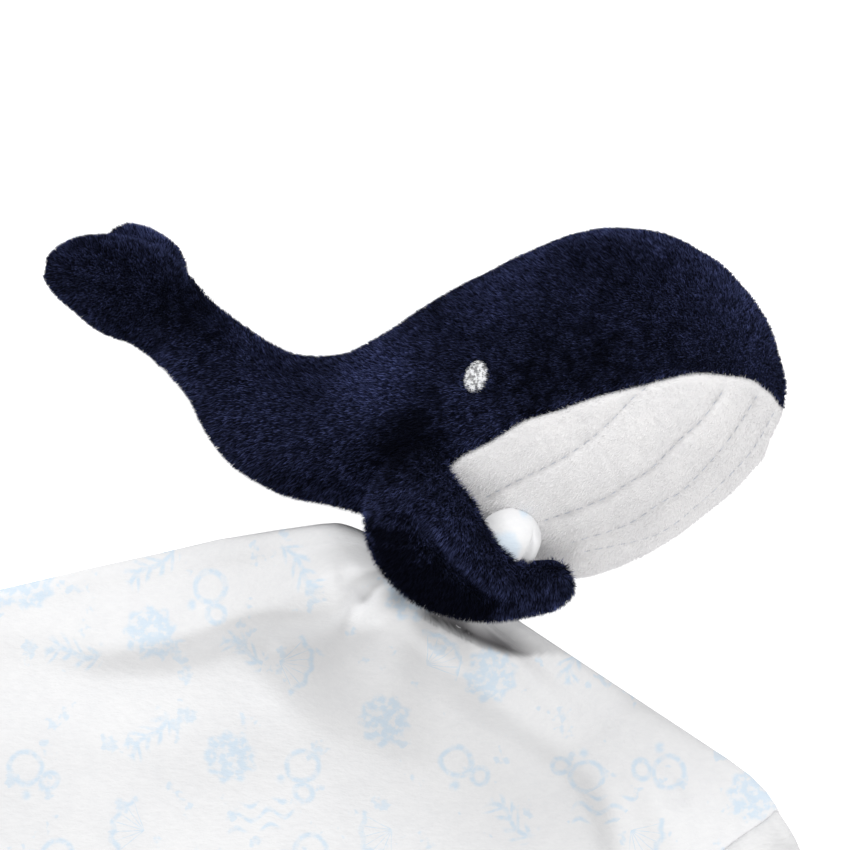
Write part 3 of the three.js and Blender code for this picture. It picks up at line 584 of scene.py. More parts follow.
def ring_grid(rings, first, last, start_angle, end_angle, columns):
    """Points of a padded body between two edges, and the middle of each row. rings holds the two rims and
    half the thickness of each ring, first and last are its poles, and the edges are angles: 90 degrees at the
    first rim, -90 at the second and 0 on the upper side."""
    rim_a, rim_b, half = rings[:, 0:3], rings[:, 3:6], rings[:, 6]
    middle = (rim_a + rim_b) / 2
    reach = (rim_a - rim_b) / 2
    upper = unit(np.cross(reach, np.gradient(middle, axis=0)))
    upper *= np.where(upper[:, 2:3] < 0, -1, 1)
    share = np.linspace(0, 1, columns)[None, :]
    start = np.broadcast_to(np.asarray(start_angle, float).reshape(-1, 1), (len(rings), 1))
    end = np.broadcast_to(np.asarray(end_angle, float).reshape(-1, 1), (len(rings), 1))
    angle = start + (end - start) * share
    grid = (
        middle[:, None, :]
        + reach[:, None, :] * np.sin(angle)[:, :, None]
        + upper[:, None, :] * (half[:, None] * np.cos(angle))[:, :, None]
    )
    poles = [np.broadcast_to(np.array(p, float), (1, columns, 3)) for p in (first, last)]
    grid = np.concatenate([poles[0], grid, poles[1]], axis=0)
    centre = np.concatenate([[first], middle, [last]])[:, None, :]
    return grid, np.broadcast_to(centre, grid.shape)


def sew_edges(grid, normals, seam):
    """Draws both side edges of a panel in, as the seams of a stuffed toy do."""
    depth, width = seam
    step = np.linalg.norm(np.diff(grid, axis=1), axis=2)
    along = np.concatenate([np.zeros((grid.shape[0], 1)), np.cumsum(step, axis=1)], axis=1)
    near = np.minimum(along, along[:, -1:] - along)
    pucker = 1 + PUCKER_HEIGHT * noise_at(grid, PUCKER_SIZE, 3)
    room = np.minimum(along[:, -1:] / 14, 1)
    return grid - normals * (depth * pucker * room * (1 - np.clip(near / width, 0, 1)) ** 2)[:, :, None]


def soft_lumps(grid, normals, strength=1.0):
    lumps = 0.75 * noise_at(grid, 26, 1) + 0.4 * noise_at(grid, 9, 2)
    return grid + normals * (strength * lumps)[:, :, None]


def above_table(grid, height=0.4):
    raised = grid.copy()
    raised[:, :, 2] = np.maximum(raised[:, :, 2], height)
    return raised


# Materials


class Graph:
    """The nodes of one material or node group, with short ways to add and join them."""

    def __init__(self, tree):
        self.nodes = tree.nodes
        self.links = tree.links

    def feed(self, socket, value):
        if isinstance(value, bpy.types.NodeSocket):
            self.links.new(value, socket)
        else:
            socket.default_value = value

    def join(self, node, **inputs):
        """Feeds the named inputs of a node; an underline in a name stands for a space."""
        for name, value in inputs.items():
            self.feed(node.inputs[name.replace("_", " ")], value)
        return node

    def in_order(self, node, *values):
        for socket, value in zip(node.inputs, values):
            self.feed(socket, value)
        return node.outputs

    def add(self, kind, settings=(), **inputs):
        node = self.nodes.new(kind)
        for name, value in dict(settings).items():
            setattr(node, name, value)
        return self.join(node, **inputs).outputs

    def group(self, tree, **inputs):
        return self.add("ShaderNodeGroup", {"node_tree": tree}, **inputs)

    def maths(self, operation, *values):
        node = self.nodes.new("ShaderNodeMath")
        node.operation = operation
        return self.in_order(node, *values)[0]

    def vector(self, operation, *values):
        node = self.nodes.new("ShaderNodeVectorMath")
        node.operation = operation
        return self.in_order(node, *values)

    def plus(self, a, b):
        return self.maths("ADD", a, b)

    def minus(self, a, b):
        return self.maths("SUBTRACT", a, b)

    def times(self, a, b):
        return self.maths("MULTIPLY", a, b)

    def larger(self, a, b):
        return self.maths("MAXIMUM", a, b)

    def size_of(self, value):
        return self.maths("ABSOLUTE", value)

    def length(self, x, y):
        return self.maths("SQRT", self.plus(self.times(x, x), self.times(y, y)))

    def distance(self, a, b):
        return self.vector("DISTANCE", a, b)["Value"]

    def wave(self, value, rate, operation="SINE"):
        return self.maths(operation, self.times(value, rate))

    def between(self, value, low, high, to_low=0.0, to_high=1.0):
        """A smooth step from to_low at low to to_high at high."""
        node = self.nodes.new("ShaderNodeMapRange")
        node.interpolation_type = "SMOOTHSTEP"
        return self.in_order(node, value, low, high, to_low, to_high)[0]

    def mix(self, share, first, second):
        node = self.nodes.new("ShaderNodeMix")
        node.data_type = "RGBA"
        for k, value in ((0, share), (6, first), (7, second)):
            self.feed(node.inputs[k], value)
        return node.outputs[2]

    def noise(self, place, scale, detail=2.0, roughness=0.5):
        return self.add("ShaderNodeTexNoise", Vector=place, Scale=scale, Detail=detail, Roughness=roughness)

    def attribute(self, name):
        return self.add("ShaderNodeAttribute", {"attribute_name": name})["Fac"]

    def random(self, low, high, seed):
        """A random number, or a random vector where low and high are vectors."""
        node = self.nodes.new("FunctionNodeRandomValue")
        is_vector = isinstance(low, tuple)
        node.data_type = "FLOAT_VECTOR" if is_vector else "FLOAT"
        first = 0 if is_vector else 2
        self.feed(node.inputs[first], low)
        self.feed(node.inputs[first + 1], high)
        return self.join(node, Seed=seed).outputs[0 if is_vector else 1]


def node_group(kind, name, inputs, outputs):
    """An empty node group and its graph. An input has a label, a kind and a starting value or None."""
    tree = bpy.data.node_groups.new(name, kind)
    for label, socket_kind, value in inputs:
        socket = tree.interface.new_socket(label, in_out="INPUT", socket_type="NodeSocket" + socket_kind)
        if value is not None:
            socket.default_value = value
    for label, socket_kind in outputs:
        tree.interface.new_socket(label, in_out="OUTPUT", socket_type="NodeSocket" + socket_kind)
    graph = Graph(tree)
    graph.source = tree.nodes.new("NodeGroupInput").outputs
    graph.result = tree.nodes.new("NodeGroupOutput")
    return tree, graph


def plush_nap_group():
    """Nap of a plush: brushed patches, fine fibres and the height of both."""
    tree, g = node_group(
        "ShaderNodeTree", "plush nap",
        [("Place", "Vector", None), ("Patch Size", "Float", 0.012), ("Fibre Size", "Float", 0.0009)],
        [("Patches", "Float"), ("Fibres", "Float"), ("Height", "Float")],
    )
    place = g.source["Place"]
    patches = g.noise(place, g.maths("DIVIDE", 1.0, g.source["Patch Size"]), 3.0, 0.6)[0]
    fibre_scale = g.maths("DIVIDE", 1.0, g.source["Fibre Size"])
    brushed = g.add("ShaderNodeMapping", Vector=place, Scale=(0.45, 1.0, 1.0))[0]
    fibres = g.noise(brushed, fibre_scale, 2.0, 0.7)[0]
    tufts = g.noise(place, g.times(fibre_scale, 0.3))[0]
    both = g.plus(g.times(fibres, 0.6), g.times(tufts, 0.4))
    patches = g.between(patches, 0.34, 0.66, 0.15, 1.0)
    g.join(g.result, Patches=patches, Fibres=g.between(both, 0.32, 0.68), Height=both)
    return tree


def sea_print_group():
    """Scattered motifs printed on cloth: bubbles, sponge-dabbed pebbles, shells, sprigs and ripples."""
    tree, g = node_group("ShaderNodeTree", "sea print", [("Place", "Vector", None)], [("Mask", "Float")])
    place = g.source["Place"]
    bent = g.vector("MULTIPLY_ADD", g.noise(place, 90.0, 1.0)["Color"], (0.0022, 0.0022, 0.0), place)[0]
    cells = g.add(
        "ShaderNodeTexVoronoi", {"voronoi_dimensions": "2D"},
        Vector=bent, Scale=1 / (PRINT_SPACING * MM), Randomness=0.8,
    )
    choice = g.add("ShaderNodeSeparateColor", Color=cells["Color"])
    offset = g.vector("SUBTRACT", bent, cells["Position"])[0]
    angle = g.times(choice[0], 6.28)
    turned = g.add("ShaderNodeVectorRotate", {"rotation_type": "Z_AXIS"}, Vector=offset, Angle=angle)[0]
    local = g.add("ShaderNodeSeparateXYZ", Vector=turned)
    x = g.times(local[0], 1000.0)
    y = g.times(local[1], 1000.0)
    radius = g.length(x, y)
    angle = g.maths("ARCTAN2", y, x)
    dabs = g.noise(place, 420.0)[0]

    def stroke(value, width=0.55):
        return g.between(g.size_of(value), width * 0.4, width + 0.75, 1.0, 0.0)

    def inside(value, limit=0.0):
        return g.between(value, limit - 1.1, limit + 0.7, 1.0, 0.0)

    def ring(cx, cy, size):
        return g.minus(g.length(g.minus(x, cx), g.minus(y, cy)), size)

    def past_rim(operation, waves, height, size):
        return g.minus(radius, g.maths("MULTIPLY_ADD", g.wave(angle, waves, operation), height, size))

    bubbles = g.larger(stroke(ring(-2.5, 0, 4.6)), stroke(ring(5.2, 3.0, 2.5)))
    bubbles = g.larger(bubbles, inside(ring(3.4, -4.8, 0), 1.5))
    pebble = g.times(inside(past_rim("SINE", 9.0, 0.7, 7.6)), g.between(dabs, 0.36, 0.52, 0.45, 1.0))
    fan = g.between(g.size_of(angle), 1.05, 1.15, 1.0, 0.0)
    ribs = stroke(g.times(g.wave(angle, 10.0), radius), 1.1)
    past_shell = past_rim("COSINE", 12.0, 0.4, 9.4)
    shell = g.times(g.larger(g.times(ribs, inside(past_shell)), stroke(past_shell)), fan)
    from_stem = g.minus(x, g.times(g.wave(y, 0.4), 1.3))
    side = g.size_of(from_stem)
    leaf_place = g.maths("PINGPONG", g.maths("MULTIPLY_ADD", side, -0.9, y), 1.9)
    leaves = g.times(stroke(leaf_place, 0.5), inside(side, 3.6))
    sprig = g.times(g.larger(stroke(from_stem), leaves), inside(g.size_of(y), 8.5))
    rows = g.maths("PINGPONG", g.minus(y, g.times(g.wave(x, 0.62), 1.5)), 2.3)
    ripples = g.times(stroke(rows, 0.45), inside(g.size_of(x), 10.0))
    ripples = g.times(ripples, inside(g.size_of(y), 4.6))
    motifs = [bubbles, pebble, shell, sprig, ripples, pebble]
    mask = 0.0
    for k, motif in enumerate(motifs):
        low = g.maths("GREATER_THAN", choice[1], k / len(motifs))
        high = g.maths("LESS_THAN", choice[1], (k + 1) / len(motifs))
        mask = g.plus(mask, g.times(motif, g.times(low, high)))
    washes = g.between(g.noise(place, 105.0, 3.0, 0.62)[0], 0.6, 0.66)
    mask = g.larger(mask, g.times(washes, 0.75))
    g.join(g.result, Mask=g.times(mask, g.between(dabs, 0.34, 0.6, 0.35, 1.0)))
    return tree


def nap_and_painted_light_group():
    """How much of the light the navy nap gives back: lighter and darker where it has been stroked, and in
    spots that are painted highlights and painted shade.
    """
    inputs, outputs = [("Place", "Vector", None)], [("Lightness", "Float")]
    tree, g = node_group("ShaderNodeTree", "nap and painted light", inputs, outputs)
    place = g.source["Place"]
    broad = g.between(g.noise(place, 34.0)[0], 0.36, 0.64, 0.48, 0.84)
    fine = g.between(g.noise(place, 300.0, 2.0, 0.6)[0], 0.36, 0.62, 0.6, 1.35)
    lightness = g.times(broad, fine)
    # each spot that lightens is a painted highlight and each that darkens a painted shade, together with the
    # stroked nap
    for x, y, z, size, amount in NAP_AND_PAINTED_LIGHT_SPOTS:
        away = g.distance(place, (x * MM, y * MM, z * MM))
        lightness = g.plus(lightness, g.between(away, 0.15 * size * MM, 1.35 * size * MM, amount, 0.0))
    g.join(g.result, Lightness=g.maths("MINIMUM", g.larger(lightness, 0.06), 1.7))
    return tree


PLUSH_NAP = plush_nap_group()
NAP_AND_PAINTED_LIGHT = nap_and_painted_light_group()
SEA_PRINT = sea_print_group()


def start_material(name):
    material = bpy.data.materials.new(name)
    material.use_nodes = True
    return material, Graph(material.node_tree), material.node_tree.nodes["Principled BSDF"]


def plush_material(
    name, dark, light, patch_size, fibre_size, bump,
    sheen=0.1, tint=(1, 1, 1), gloss=0.15, colour_of=None, pile=False, brushed=False,
):
    """Short-piled plush, dark deep in its nap and light on top, a painted shade, with the sizes of its
    patches and fibres in metres. colour_of(graph, colour) may print on it. A pile is painted darker at its
    roots."""
    material, g, surface = start_material(name)
    place = g.add("ShaderNodeTexCoord")["Object"]
    nap = g.group(PLUSH_NAP, Place=place, Patch_Size=patch_size, Fibre_Size=fibre_size)
    # the fibres are lighter where the nap's relief is high and darker where it is low, a painted shade
    share = g.plus(g.times(nap["Patches"], 0.45), g.times(nap["Fibres"], 0.55))
    if pile:
        # painted shade: a fibre of the pile is darker towards its root
        share = g.times(g.attribute("tip"), g.maths("POWER", g.attribute("shade"), 1.8))
    # brushed: the stroked nap, with painted highlights and painted shade
    if brushed:
        share = g.times(share, g.group(NAP_AND_PAINTED_LIGHT, Place=place)["Lightness"])
    colour = g.mix(share, (*dark, 1), (*light, 1))
    if colour_of:
        colour = colour_of(g, colour)
    relief = g.add("ShaderNodeBump", Height=nap["Height"], Strength=bump, Distance=PLUSH_RELIEF * MM)[0]
    g.join(
        surface, Base_Color=colour, Normal=relief, Roughness=PLUSH_ROUGHNESS, Specular_IOR_Level=gloss,
        Sheen_Weight=sheen, Sheen_Roughness=SHEEN_ROUGHNESS, Sheen_Tint=(*tint, 1),
    )
    return material


def printed(g, colour):
    """The print on the cloth, and over it the painted shade of the pocket under the near flipper."""
    flat = g.add("ShaderNodeUVMap", {"uv_map": "laid"})[0]
    mask = g.group(SEA_PRINT, Place=flat)["Mask"]
    ragged = g.noise(flat, 260.0)[0]
    x, y, free = (number * MM for number in PRINT_FREE)
    mask = g.times(mask, g.between(g.distance(flat, (x, y, 0)), free, 1.4 * free))
    for x, y, size in PEAK_DABS:
        reach = g.maths("MULTIPLY_ADD", ragged, 0.003, g.distance(flat, (x * MM, y * MM, 0)))
        mask = g.larger(mask, g.between(reach, (size - 0.5) * MM, (size + 1.9) * MM, 0.85, 0.0))
    colour = g.mix(g.times(mask, PRINT_STRENGTH), colour, PRINT_COLOUR)
    # painted shade: the pocket under the near flipper is painted dark grey over the print
    return g.mix(g.attribute("pocket"), colour, POCKET_PAINTED_SHADE_COLOUR)


def thread_material(name, colour, roughness, specular, twist=0.7, depth=0.72):
    """Twisted thread: twist is the size of its plies in millimetres, depth how dark the painted shade is
    between them.
    """
    material, g, surface = start_material(name)
    plies = g.noise(g.add("ShaderNodeTexCoord")["Object"], 1 / (twist * MM))[0]
    # painted shade: the thread is darker where the relief of its plies is low
    dark = tuple(depth * c for c in colour)
    relief = g.add("ShaderNodeBump", Height=plies, Strength=0.35, Distance=0.2 * MM)[0]
    g.join(
        surface, Base_Color=g.mix(g.between(plies, 0.38, 0.56), (*dark, 1), (*colour, 1)), Normal=relief,
        Roughness=roughness, Specular_IOR_Level=specular,
    )
    return material


# The navy skin is darker than its pile: navy cloth, and painted shade where it shows between the fibres
navy_plush = plush_material(
    "navy plush", (0.0013, 0.0016, 0.0048), (0.02, 0.026, 0.075), 0.026, 0.0011, 0.8,
    0.06, (0.35, 0.45, 1.0), 0.04, brushed=True,
)
navy_pile = plush_material(
    "navy pile", (0.0012, 0.0014, 0.004), (0.18, 0.223, 0.55), 0.026, 0.0011, 0.0,
    0.05, (0.4, 0.5, 1.0), 0.05, pile=True, brushed=True,
)
white_plush = plush_material(
    "white belly plush", (0.77, 0.765, 0.775), (0.85, 0.842, 0.845), 0.02, 0.0012, 0.5
)
white_pile = plush_material(
    "white belly pile", (0.82, 0.815, 0.825), (0.91, 0.902, 0.905), 0.02, 0.0012, 0.0
)
printed_plush = plush_material(
    "printed blanket plush", (0.80, 0.805, 0.82), (0.86, 0.862, 0.87), 0.03, 0.0013, 0.3, colour_of=printed
)
plain_plush = plush_material(
    "plain blanket plush", (0.70, 0.705, 0.715), (0.81, 0.81, 0.815), 0.01, 0.0024, 0.9
)
pleat_thread = thread_material("pale blue pleat thread", (0.64, 0.67, 0.74), 0.7, 0.3)
eye_thread = thread_material("silver embroidery thread", (0.9, 0.91, 0.93), 0.4, 0.6, 1.1, 0.3)
sewing_thread = thread_material("white sewing thread", (0.8, 0.8, 0.8), 0.7, 0.3)


# Repeated pieces, made with Geometry Nodes


def geometry_group(name, inputs):
    inputs = [("Geometry", "Geometry", None), *inputs, ("Material", "Material", None)]
    return node_group("GeometryNodeTree", name, inputs, [("Geometry", "Geometry")])


def finish_group(g, instances):
    real = g.add("GeometryNodeRealizeInstances", Geometry=instances)[0]
    coloured = g.add("GeometryNodeSetMaterial", Geometry=real, Material=g.source["Material"])[0]
    g.join(g.result, Geometry=coloured)


def pile_group():
    """Fibres that stand on a plush surface and lean with the nap."""
    tree, g = geometry_group(
        "plush pile",
        [("Density", "Float", 3e6), ("Length", "Float", 0.0018), ("Thickness", "Float", 0.0001),
         ("Nap", "Vector", None), ("Seed", "Int", 1)],
    )
    base, density, length, thickness, nap, seed = g.source[:6]
    points = g.add("GeometryNodeDistributePointsOnFaces", Mesh=base, Density=density, Seed=seed)
    ruffle = g.random((-0.4, -0.4, -0.4), (0.4, 0.4, 0.4), seed)
    lean = g.vector("ADD", g.vector("ADD", points["Normal"], nap)[0], ruffle)[0]
    turn = g.add("FunctionNodeAlignRotationToVector", {"axis": "Z"}, Vector=lean)[0]
    fibre = g.add(
        "GeometryNodeMeshCone", {"fill_type": "NGON"},
        Vertices=3, Radius_Top=0, Radius_Bottom=thickness, Depth=length,
    )
    # tip runs from 0 at a fibre's root to 1 at its end, for the painted shade at its root
    height = g.add("ShaderNodeSeparateXYZ", Vector=g.add("GeometryNodeInputPosition")[0])[2]
    tip = g.add(
        "GeometryNodeStoreNamedAttribute", {"data_type": "FLOAT", "domain": "POINT"},
        Geometry=fibre["Mesh"], Name="tip", Value=g.maths("DIVIDE", height, length),
    )
    placed = g.add(
        "GeometryNodeInstanceOnPoints",
        Points=points["Points"], Instance=tip[0], Rotation=turn, Scale=g.random(0.6, 1.15, seed),
    )
    shade = g.add(
        "GeometryNodeStoreNamedAttribute", {"data_type": "FLOAT", "domain": "INSTANCE"},
        Geometry=placed[0], Name="shade", Value=g.random(0.0, 1.0, 77),
    )
    finish_group(g, shade[0])
    return tree


def stitch_group():
    """A running stitch: short threads along a path, with gaps between them."""
    tree, g = geometry_group(
        "running stitch",
        [("Spacing", "Float", 0.0035), ("Length", "Float", 0.0025), ("Thread Radius", "Float", 0.00025)],
    )
    base, spacing, length, radius = g.source[:4]
    path = g.add("GeometryNodeMeshToCurve", Mesh=base)[0]
    even = g.add("GeometryNodeResampleCurve", {"mode": "LENGTH"}, Curve=path, Length=spacing)[0]
    along = g.add("GeometryNodeInputTangent")[0]
    turn = g.add("FunctionNodeAlignRotationToVector", {"axis": "X"}, Vector=along)[0]
    thread = g.add("GeometryNodeMeshUVSphere", Segments=8, Rings=6, Radius=1)["Mesh"]
    size = g.add("ShaderNodeCombineXYZ", X=g.times(length, 0.5), Y=radius, Z=radius)[0]
    placed = g.add("GeometryNodeInstanceOnPoints", Points=even, Instance=thread, Rotation=turn, Scale=size)
    finish_group(g, placed[0])
    return tree


PLUSH_PILE = pile_group()
RUNNING_STITCH = stitch_group()


def grown_on(base, name, tree, material, slot, **sizes):
    """The plain mesh that a node group makes from a base object, which is then deleted."""
    grower = base.modifiers.new(name, "NODES")
    grower.node_group = tree
    sizes["material"] = material
    for item in tree.interface.items_tree:
        key = item.name.lower().replace(" ", "_")
        if item.in_out == "INPUT" and key in sizes:
            grower[item.identifier] = sizes[key]
    evaluated = base.evaluated_get(bpy.context.evaluated_depsgraph_get())
    mesh = bpy.data.meshes.new_from_object(evaluated)
    mesh.name = name
    mesh.materials.clear()
    mesh.materials.append(material)
    bpy.data.objects.remove(base)
    places = vertex_places(mesh)
    places[:, 2] = np.maximum(places[:, 2], LOWEST_FIBRE * MM)
    mesh.vertices.foreach_set("co", places.ravel())
    piece = placed_object(name, mesh)
    return piece


def pile_on(name, grid, material=navy_pile, slot="navy_plush"):
    """The pile of that name in PILES, over a grid of points."""
    count, length, thickness, nap, seed = PILES[name]
    rows, columns = grid.shape[:2]
    step_a = np.diff(grid, axis=0)[:, :-1]
    step_b = np.diff(grid, axis=1)[:-1]
    area = np.linalg.norm(np.cross(step_a, step_b), axis=2).sum()
    mesh = bpy.data.meshes.new(name + " base")
    mesh.from_pydata((grid.reshape(-1, 3) * MM).tolist(), [], grid_faces(rows, columns))
    face = mesh.polygons[rows // 2 * (columns - 1) + columns // 2]
    centre = Vector((grid.reshape(-1, 3).mean(axis=0) * MM).tolist())
    if face.normal.dot(Vector(face.center) - centre) < 0:
        mesh.flip_normals()
    return grown_on(
        placed_object(name + " base", mesh), name, PLUSH_PILE, material, slot,
        density=count / (area * MM * MM), length=length * MM, thickness=thickness * MM, nap=nap, seed=seed,
    )


# Whale


def whale_rows(spacing):
    """Rings of the whale's skin, which lies inside the outline of its pile."""
    places, heights, depths = zip(*WHALE_DEPTH)
    rings = []
    for back_x, back_y, belly_x, belly_y in WHALE_RINGS:
        away = unit(np.array([back_x - belly_x, back_y - belly_y]))
        back_x, back_y = np.array([back_x, back_y]) - away * PILE_REACH
        belly_x, belly_y = np.array([belly_x, belly_y]) + away * PILE_REACH * (1 if belly_x < -10 else 0.5)
        middle_x = (back_x + belly_x) / 2
        z = float(np.interp(middle_x, places, heights))
        side = float(np.interp(middle_x, places, depths))
        rings.append((back_x, back_y, z, belly_x, belly_y, z, side))
    return smooth_rows(rings, spacing)


def belly_edge(rings):
    """For each ring, the angle at which the belly seam crosses it: -90 degrees where there is no belly."""
    seam = line_points(BELLY_SEAM, 0.3)
    angles = []
    for ring in rings:
        back, belly = ring[0:2], ring[3:5]
        middle, reach = (back + belly) / 2, (back - belly) / 2
        length = np.linalg.norm(reach)
        axis = reach / length
        across = np.array([-axis[1], axis[0]])
        off = (seam - middle) @ across
        up = (seam - middle) @ axis
        crossing = np.where(np.diff(np.sign(off)) != 0)[0]
        if len(crossing) == 0:
            angles.append(-math.pi / 2)
            continue
        k = crossing[-1]
        share = off[k] / (off[k] - off[k + 1])
        height = up[k] + (up[k + 1] - up[k]) * share
        angles.append(math.asin(max(-1.0, min(1.0, height / length))))
    return np.array(angles)


def side_skin(name, rings, edge, near, columns):
    """One navy side, from the seam along the back to the belly seam, or to the seam below where there is no
    belly."""
    top, bottom = (math.pi / 2, edge) if near else (-1.5 * math.pi, -math.pi - edge)
    grid, centre = ring_grid(rings, TAIL_END, SNOUT_TIP, top, bottom, columns)
    normals = grid_normals(grid, centre)
    grid = soft_lumps(grid, normals)
    grid = above_table(sew_edges(grid, normals, SIDE_SEAM))
    inner = grid - normals * SKIN_THICKNESS
    skin = make_mesh(name, *shell_between(grid, above_table(inner, INNER_LIFT)), navy_plush, "navy_plush")
    return skin, grid


def over_tail_joint(piece):
    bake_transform(piece)


def pleat_lines_on(surface):
    """Each pleat line on the near and the far flank, and the lowest one, as points in space."""
    lines = []
    for line in [*PLEATS, LOWEST_PLEAT]:
        for near in (True, False):
            places = [surface(x, y, near) for x, y in line_points(line)]
            lines.append(np.array([p for p in places if p is not None]))
    return lines


def ray_tree(grid):
    return BVHTree.FromPolygons(grid.reshape(-1, 3).tolist(), grid_faces(*grid.shape[:2]))


def ring_surface(rings):
    """A function that gives the point of the plain body over a place seen from above, on either flank."""
    grid, _ = ring_grid(rings, TAIL_END, SNOUT_TIP, math.pi / 2, -math.pi / 2, 121)
    tree = ray_tree(grid)

    def surface(x, y, near):
        hit = tree.ray_cast(Vector((x, y, 300)), Vector((0, 0, -1)))[0]
        if hit is None:
            return None
        return (hit.x, hit.y, hit.z if near else 2 * PICTURE_PLANE - hit.z)

    return surface


def belly_skin(rings, edge):
    has_belly = np.where(edge > -math.pi / 2 + 0.02)[0]
    first, last = has_belly[0], has_belly[-1] + 1
    part, part_edge = rings[first:last], edge[first:last]
    poles = part[0][3:6], part[-1][3:6]
    grid, centre = ring_grid(part, *poles, part_edge, -math.pi - part_edge, BELLY_COLUMNS)
    grid, centre = grid[1:-1], centre[1:-1]
    normals = grid_normals(grid, centre)
    lines = np.vstack(pleat_lines_on(ring_surface(rings)))
    distance = distance_to(grid, lines)
    relief = PLEAT_PUFF * smooth(distance / PUFF_REACH) - PLEAT_DEPTH * bell(distance, 0, PLEAT_WIDTH)
    relief += PUCKER_HEIGHT * noise_at(grid, PUCKER_SIZE, 5) * bell(distance, 0, PUCKER_SIZE)
    grid = grid + normals * relief[:, :, None]
    grid = soft_lumps(grid, normals, 0.5)
    grid = above_table(sew_edges(grid, normals, BELLY_PANEL_SEAM))
    inner = grid - normals * SKIN_THICKNESS
    shell = shell_between(grid, above_table(inner, INNER_LIFT))
    skin = make_mesh("belly_skin", *shell, white_plush, "white_plush")
    return skin, grid


def surface_lookup(grid):
    """A function that gives the point and the outward normal of a skin over a place, on either flank."""
    tree = ray_tree(grid)

    def find(x, y, near):
        start = Vector((x, y, 300 if near else -300))
        hit, normal, _, _ = tree.ray_cast(start, Vector((0, 0, -1 if near else 1)))
        if hit is None:
            return None
        if (normal.z > 0) != near:
            normal = -normal
        return np.array(hit), np.array(normal)

    return find


def pleat_stitching(find):
    """Running stitches in the channels of the belly, one piece for each row."""
    for near in (True, False):
        for k, line in enumerate(PLEATS):
            found = [find(x, y, near) for x, y in line_points(line, 0.6)]
            places = [hit + normal * 0.02 for hit, normal in [f for f in found if f is not None]]
            name = ("near" if near else "far") + "_pleat_stitching_" + str(k + 1)
            mesh = bpy.data.meshes.new(name + " path")
            edges = [(i, i + 1) for i in range(len(places) - 1)]
            mesh.from_pydata([tuple(p * MM) for p in places], edges, [])
            path = placed_object(name + " path", mesh)
            stitches = grown_on(
                path, name + "_threads", RUNNING_STITCH, pleat_thread, "pleat_thread",
                spacing=STITCH_SPACING * MM, length=STITCH_LENGTH * MM, thread_radius=STITCH_RADIUS * MM,
            )
            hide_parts(name)
            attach(stitches, BODY)


def tube_along(path, radius, sides=6):
    """Vertices and faces of a thread with closed, drawn-in ends."""
    path = np.array(path)
    along = unit(np.gradient(path, axis=0))
    side = unit(np.cross(along, np.array([0.13, 0.31, 0.94])))
    upper = np.cross(side, along)
    angles = 2 * math.pi * np.arange(sides) / sides
    sizes = np.full(len(path), radius)
    sizes[[0, -1]] *= 0.45
    rings = circle(path[:, None, :], side[:, None, :], upper[:, None, :], sizes[:, None], angles[None, :])
    faces = grid_faces(len(path), sides, 0, closed=True)
    faces.append(list(range(sides))[::-1])
    faces.append([(len(path) - 1) * sides + i for i in range(sides)])
    return rings.reshape(-1, 3), faces


def embroidered_eye(name, find, near):
    """A satin-stitched oval: a padded patch under threads that cross it at two slants."""
    turn = np.array([[math.cos(EYE_LEAN), -math.sin(EYE_LEAN)], [math.sin(EYE_LEAN), math.cos(EYE_LEAN)]])

    def lifted(u, v, height):
        x, y = turn @ np.array([u, v]) + np.array(EYE_PLACE)
        hit, normal = find(x, y, near)
        return hit + normal * height

    vertices, faces = [], []

    def take(points, polygons):
        start = sum(len(v) for v in vertices)
        vertices.append(np.array(points))
        faces.extend([[start + i for i in polygon] for polygon in polygons])

    sides = EYE_SIDES
    patch = [[lifted(0, 0, EYE_DOME)] * sides]
    for k in range(1, EYE_RINGS + 1):
        share = k / EYE_RINGS
        height = EYE_DOME * (1 - share**3) - 0.3 * share**6
        ring = []
        for i in range(sides):
            angle = 2 * math.pi * i / sides
            u, v = share * EYE_WIDTH / 2 * math.cos(angle), share * EYE_LENGTH / 2 * math.sin(angle)
            ring.append(lifted(u, v, height))
        patch.append(ring)
    patch.append([lifted(0, 0, -1.0)] * sides)
    take(np.array(patch).reshape(-1, 3), grid_faces(len(patch), sides, 0, closed=True))
    chance = np.random.default_rng(7)
    for k in range(EYE_THREADS):
        v = (k + 0.5) / EYE_THREADS * 2 - 1
        slant = 1.5 * (1 if k % 2 else -1) + chance.uniform(-0.3, 0.3)
        reach = math.sqrt(max(1 - v * v, 0.02)) * EYE_WIDTH / 2 * 1.03
        path = []
        for t in np.linspace(-1, 1, 9):
            across = t * reach
            along = v * EYE_LENGTH / 2 * 0.97 + slant * t * (1 - abs(v)) * 0.6
            height = EYE_DOME * (1 - (math.hypot(across / EYE_WIDTH * 2, along / EYE_LENGTH * 2) ** 3)) + 0.1
            path.append(lifted(across, along, max(height, -0.1) + chance.uniform(-0.03, 0.03)))
        take(*tube_along(path, EYE_THREAD_RADIUS))
    eye = make_mesh(name + "_threads", np.vstack(vertices), faces, eye_thread, "eye_thread")
    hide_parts(name)
    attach(eye, BODY)


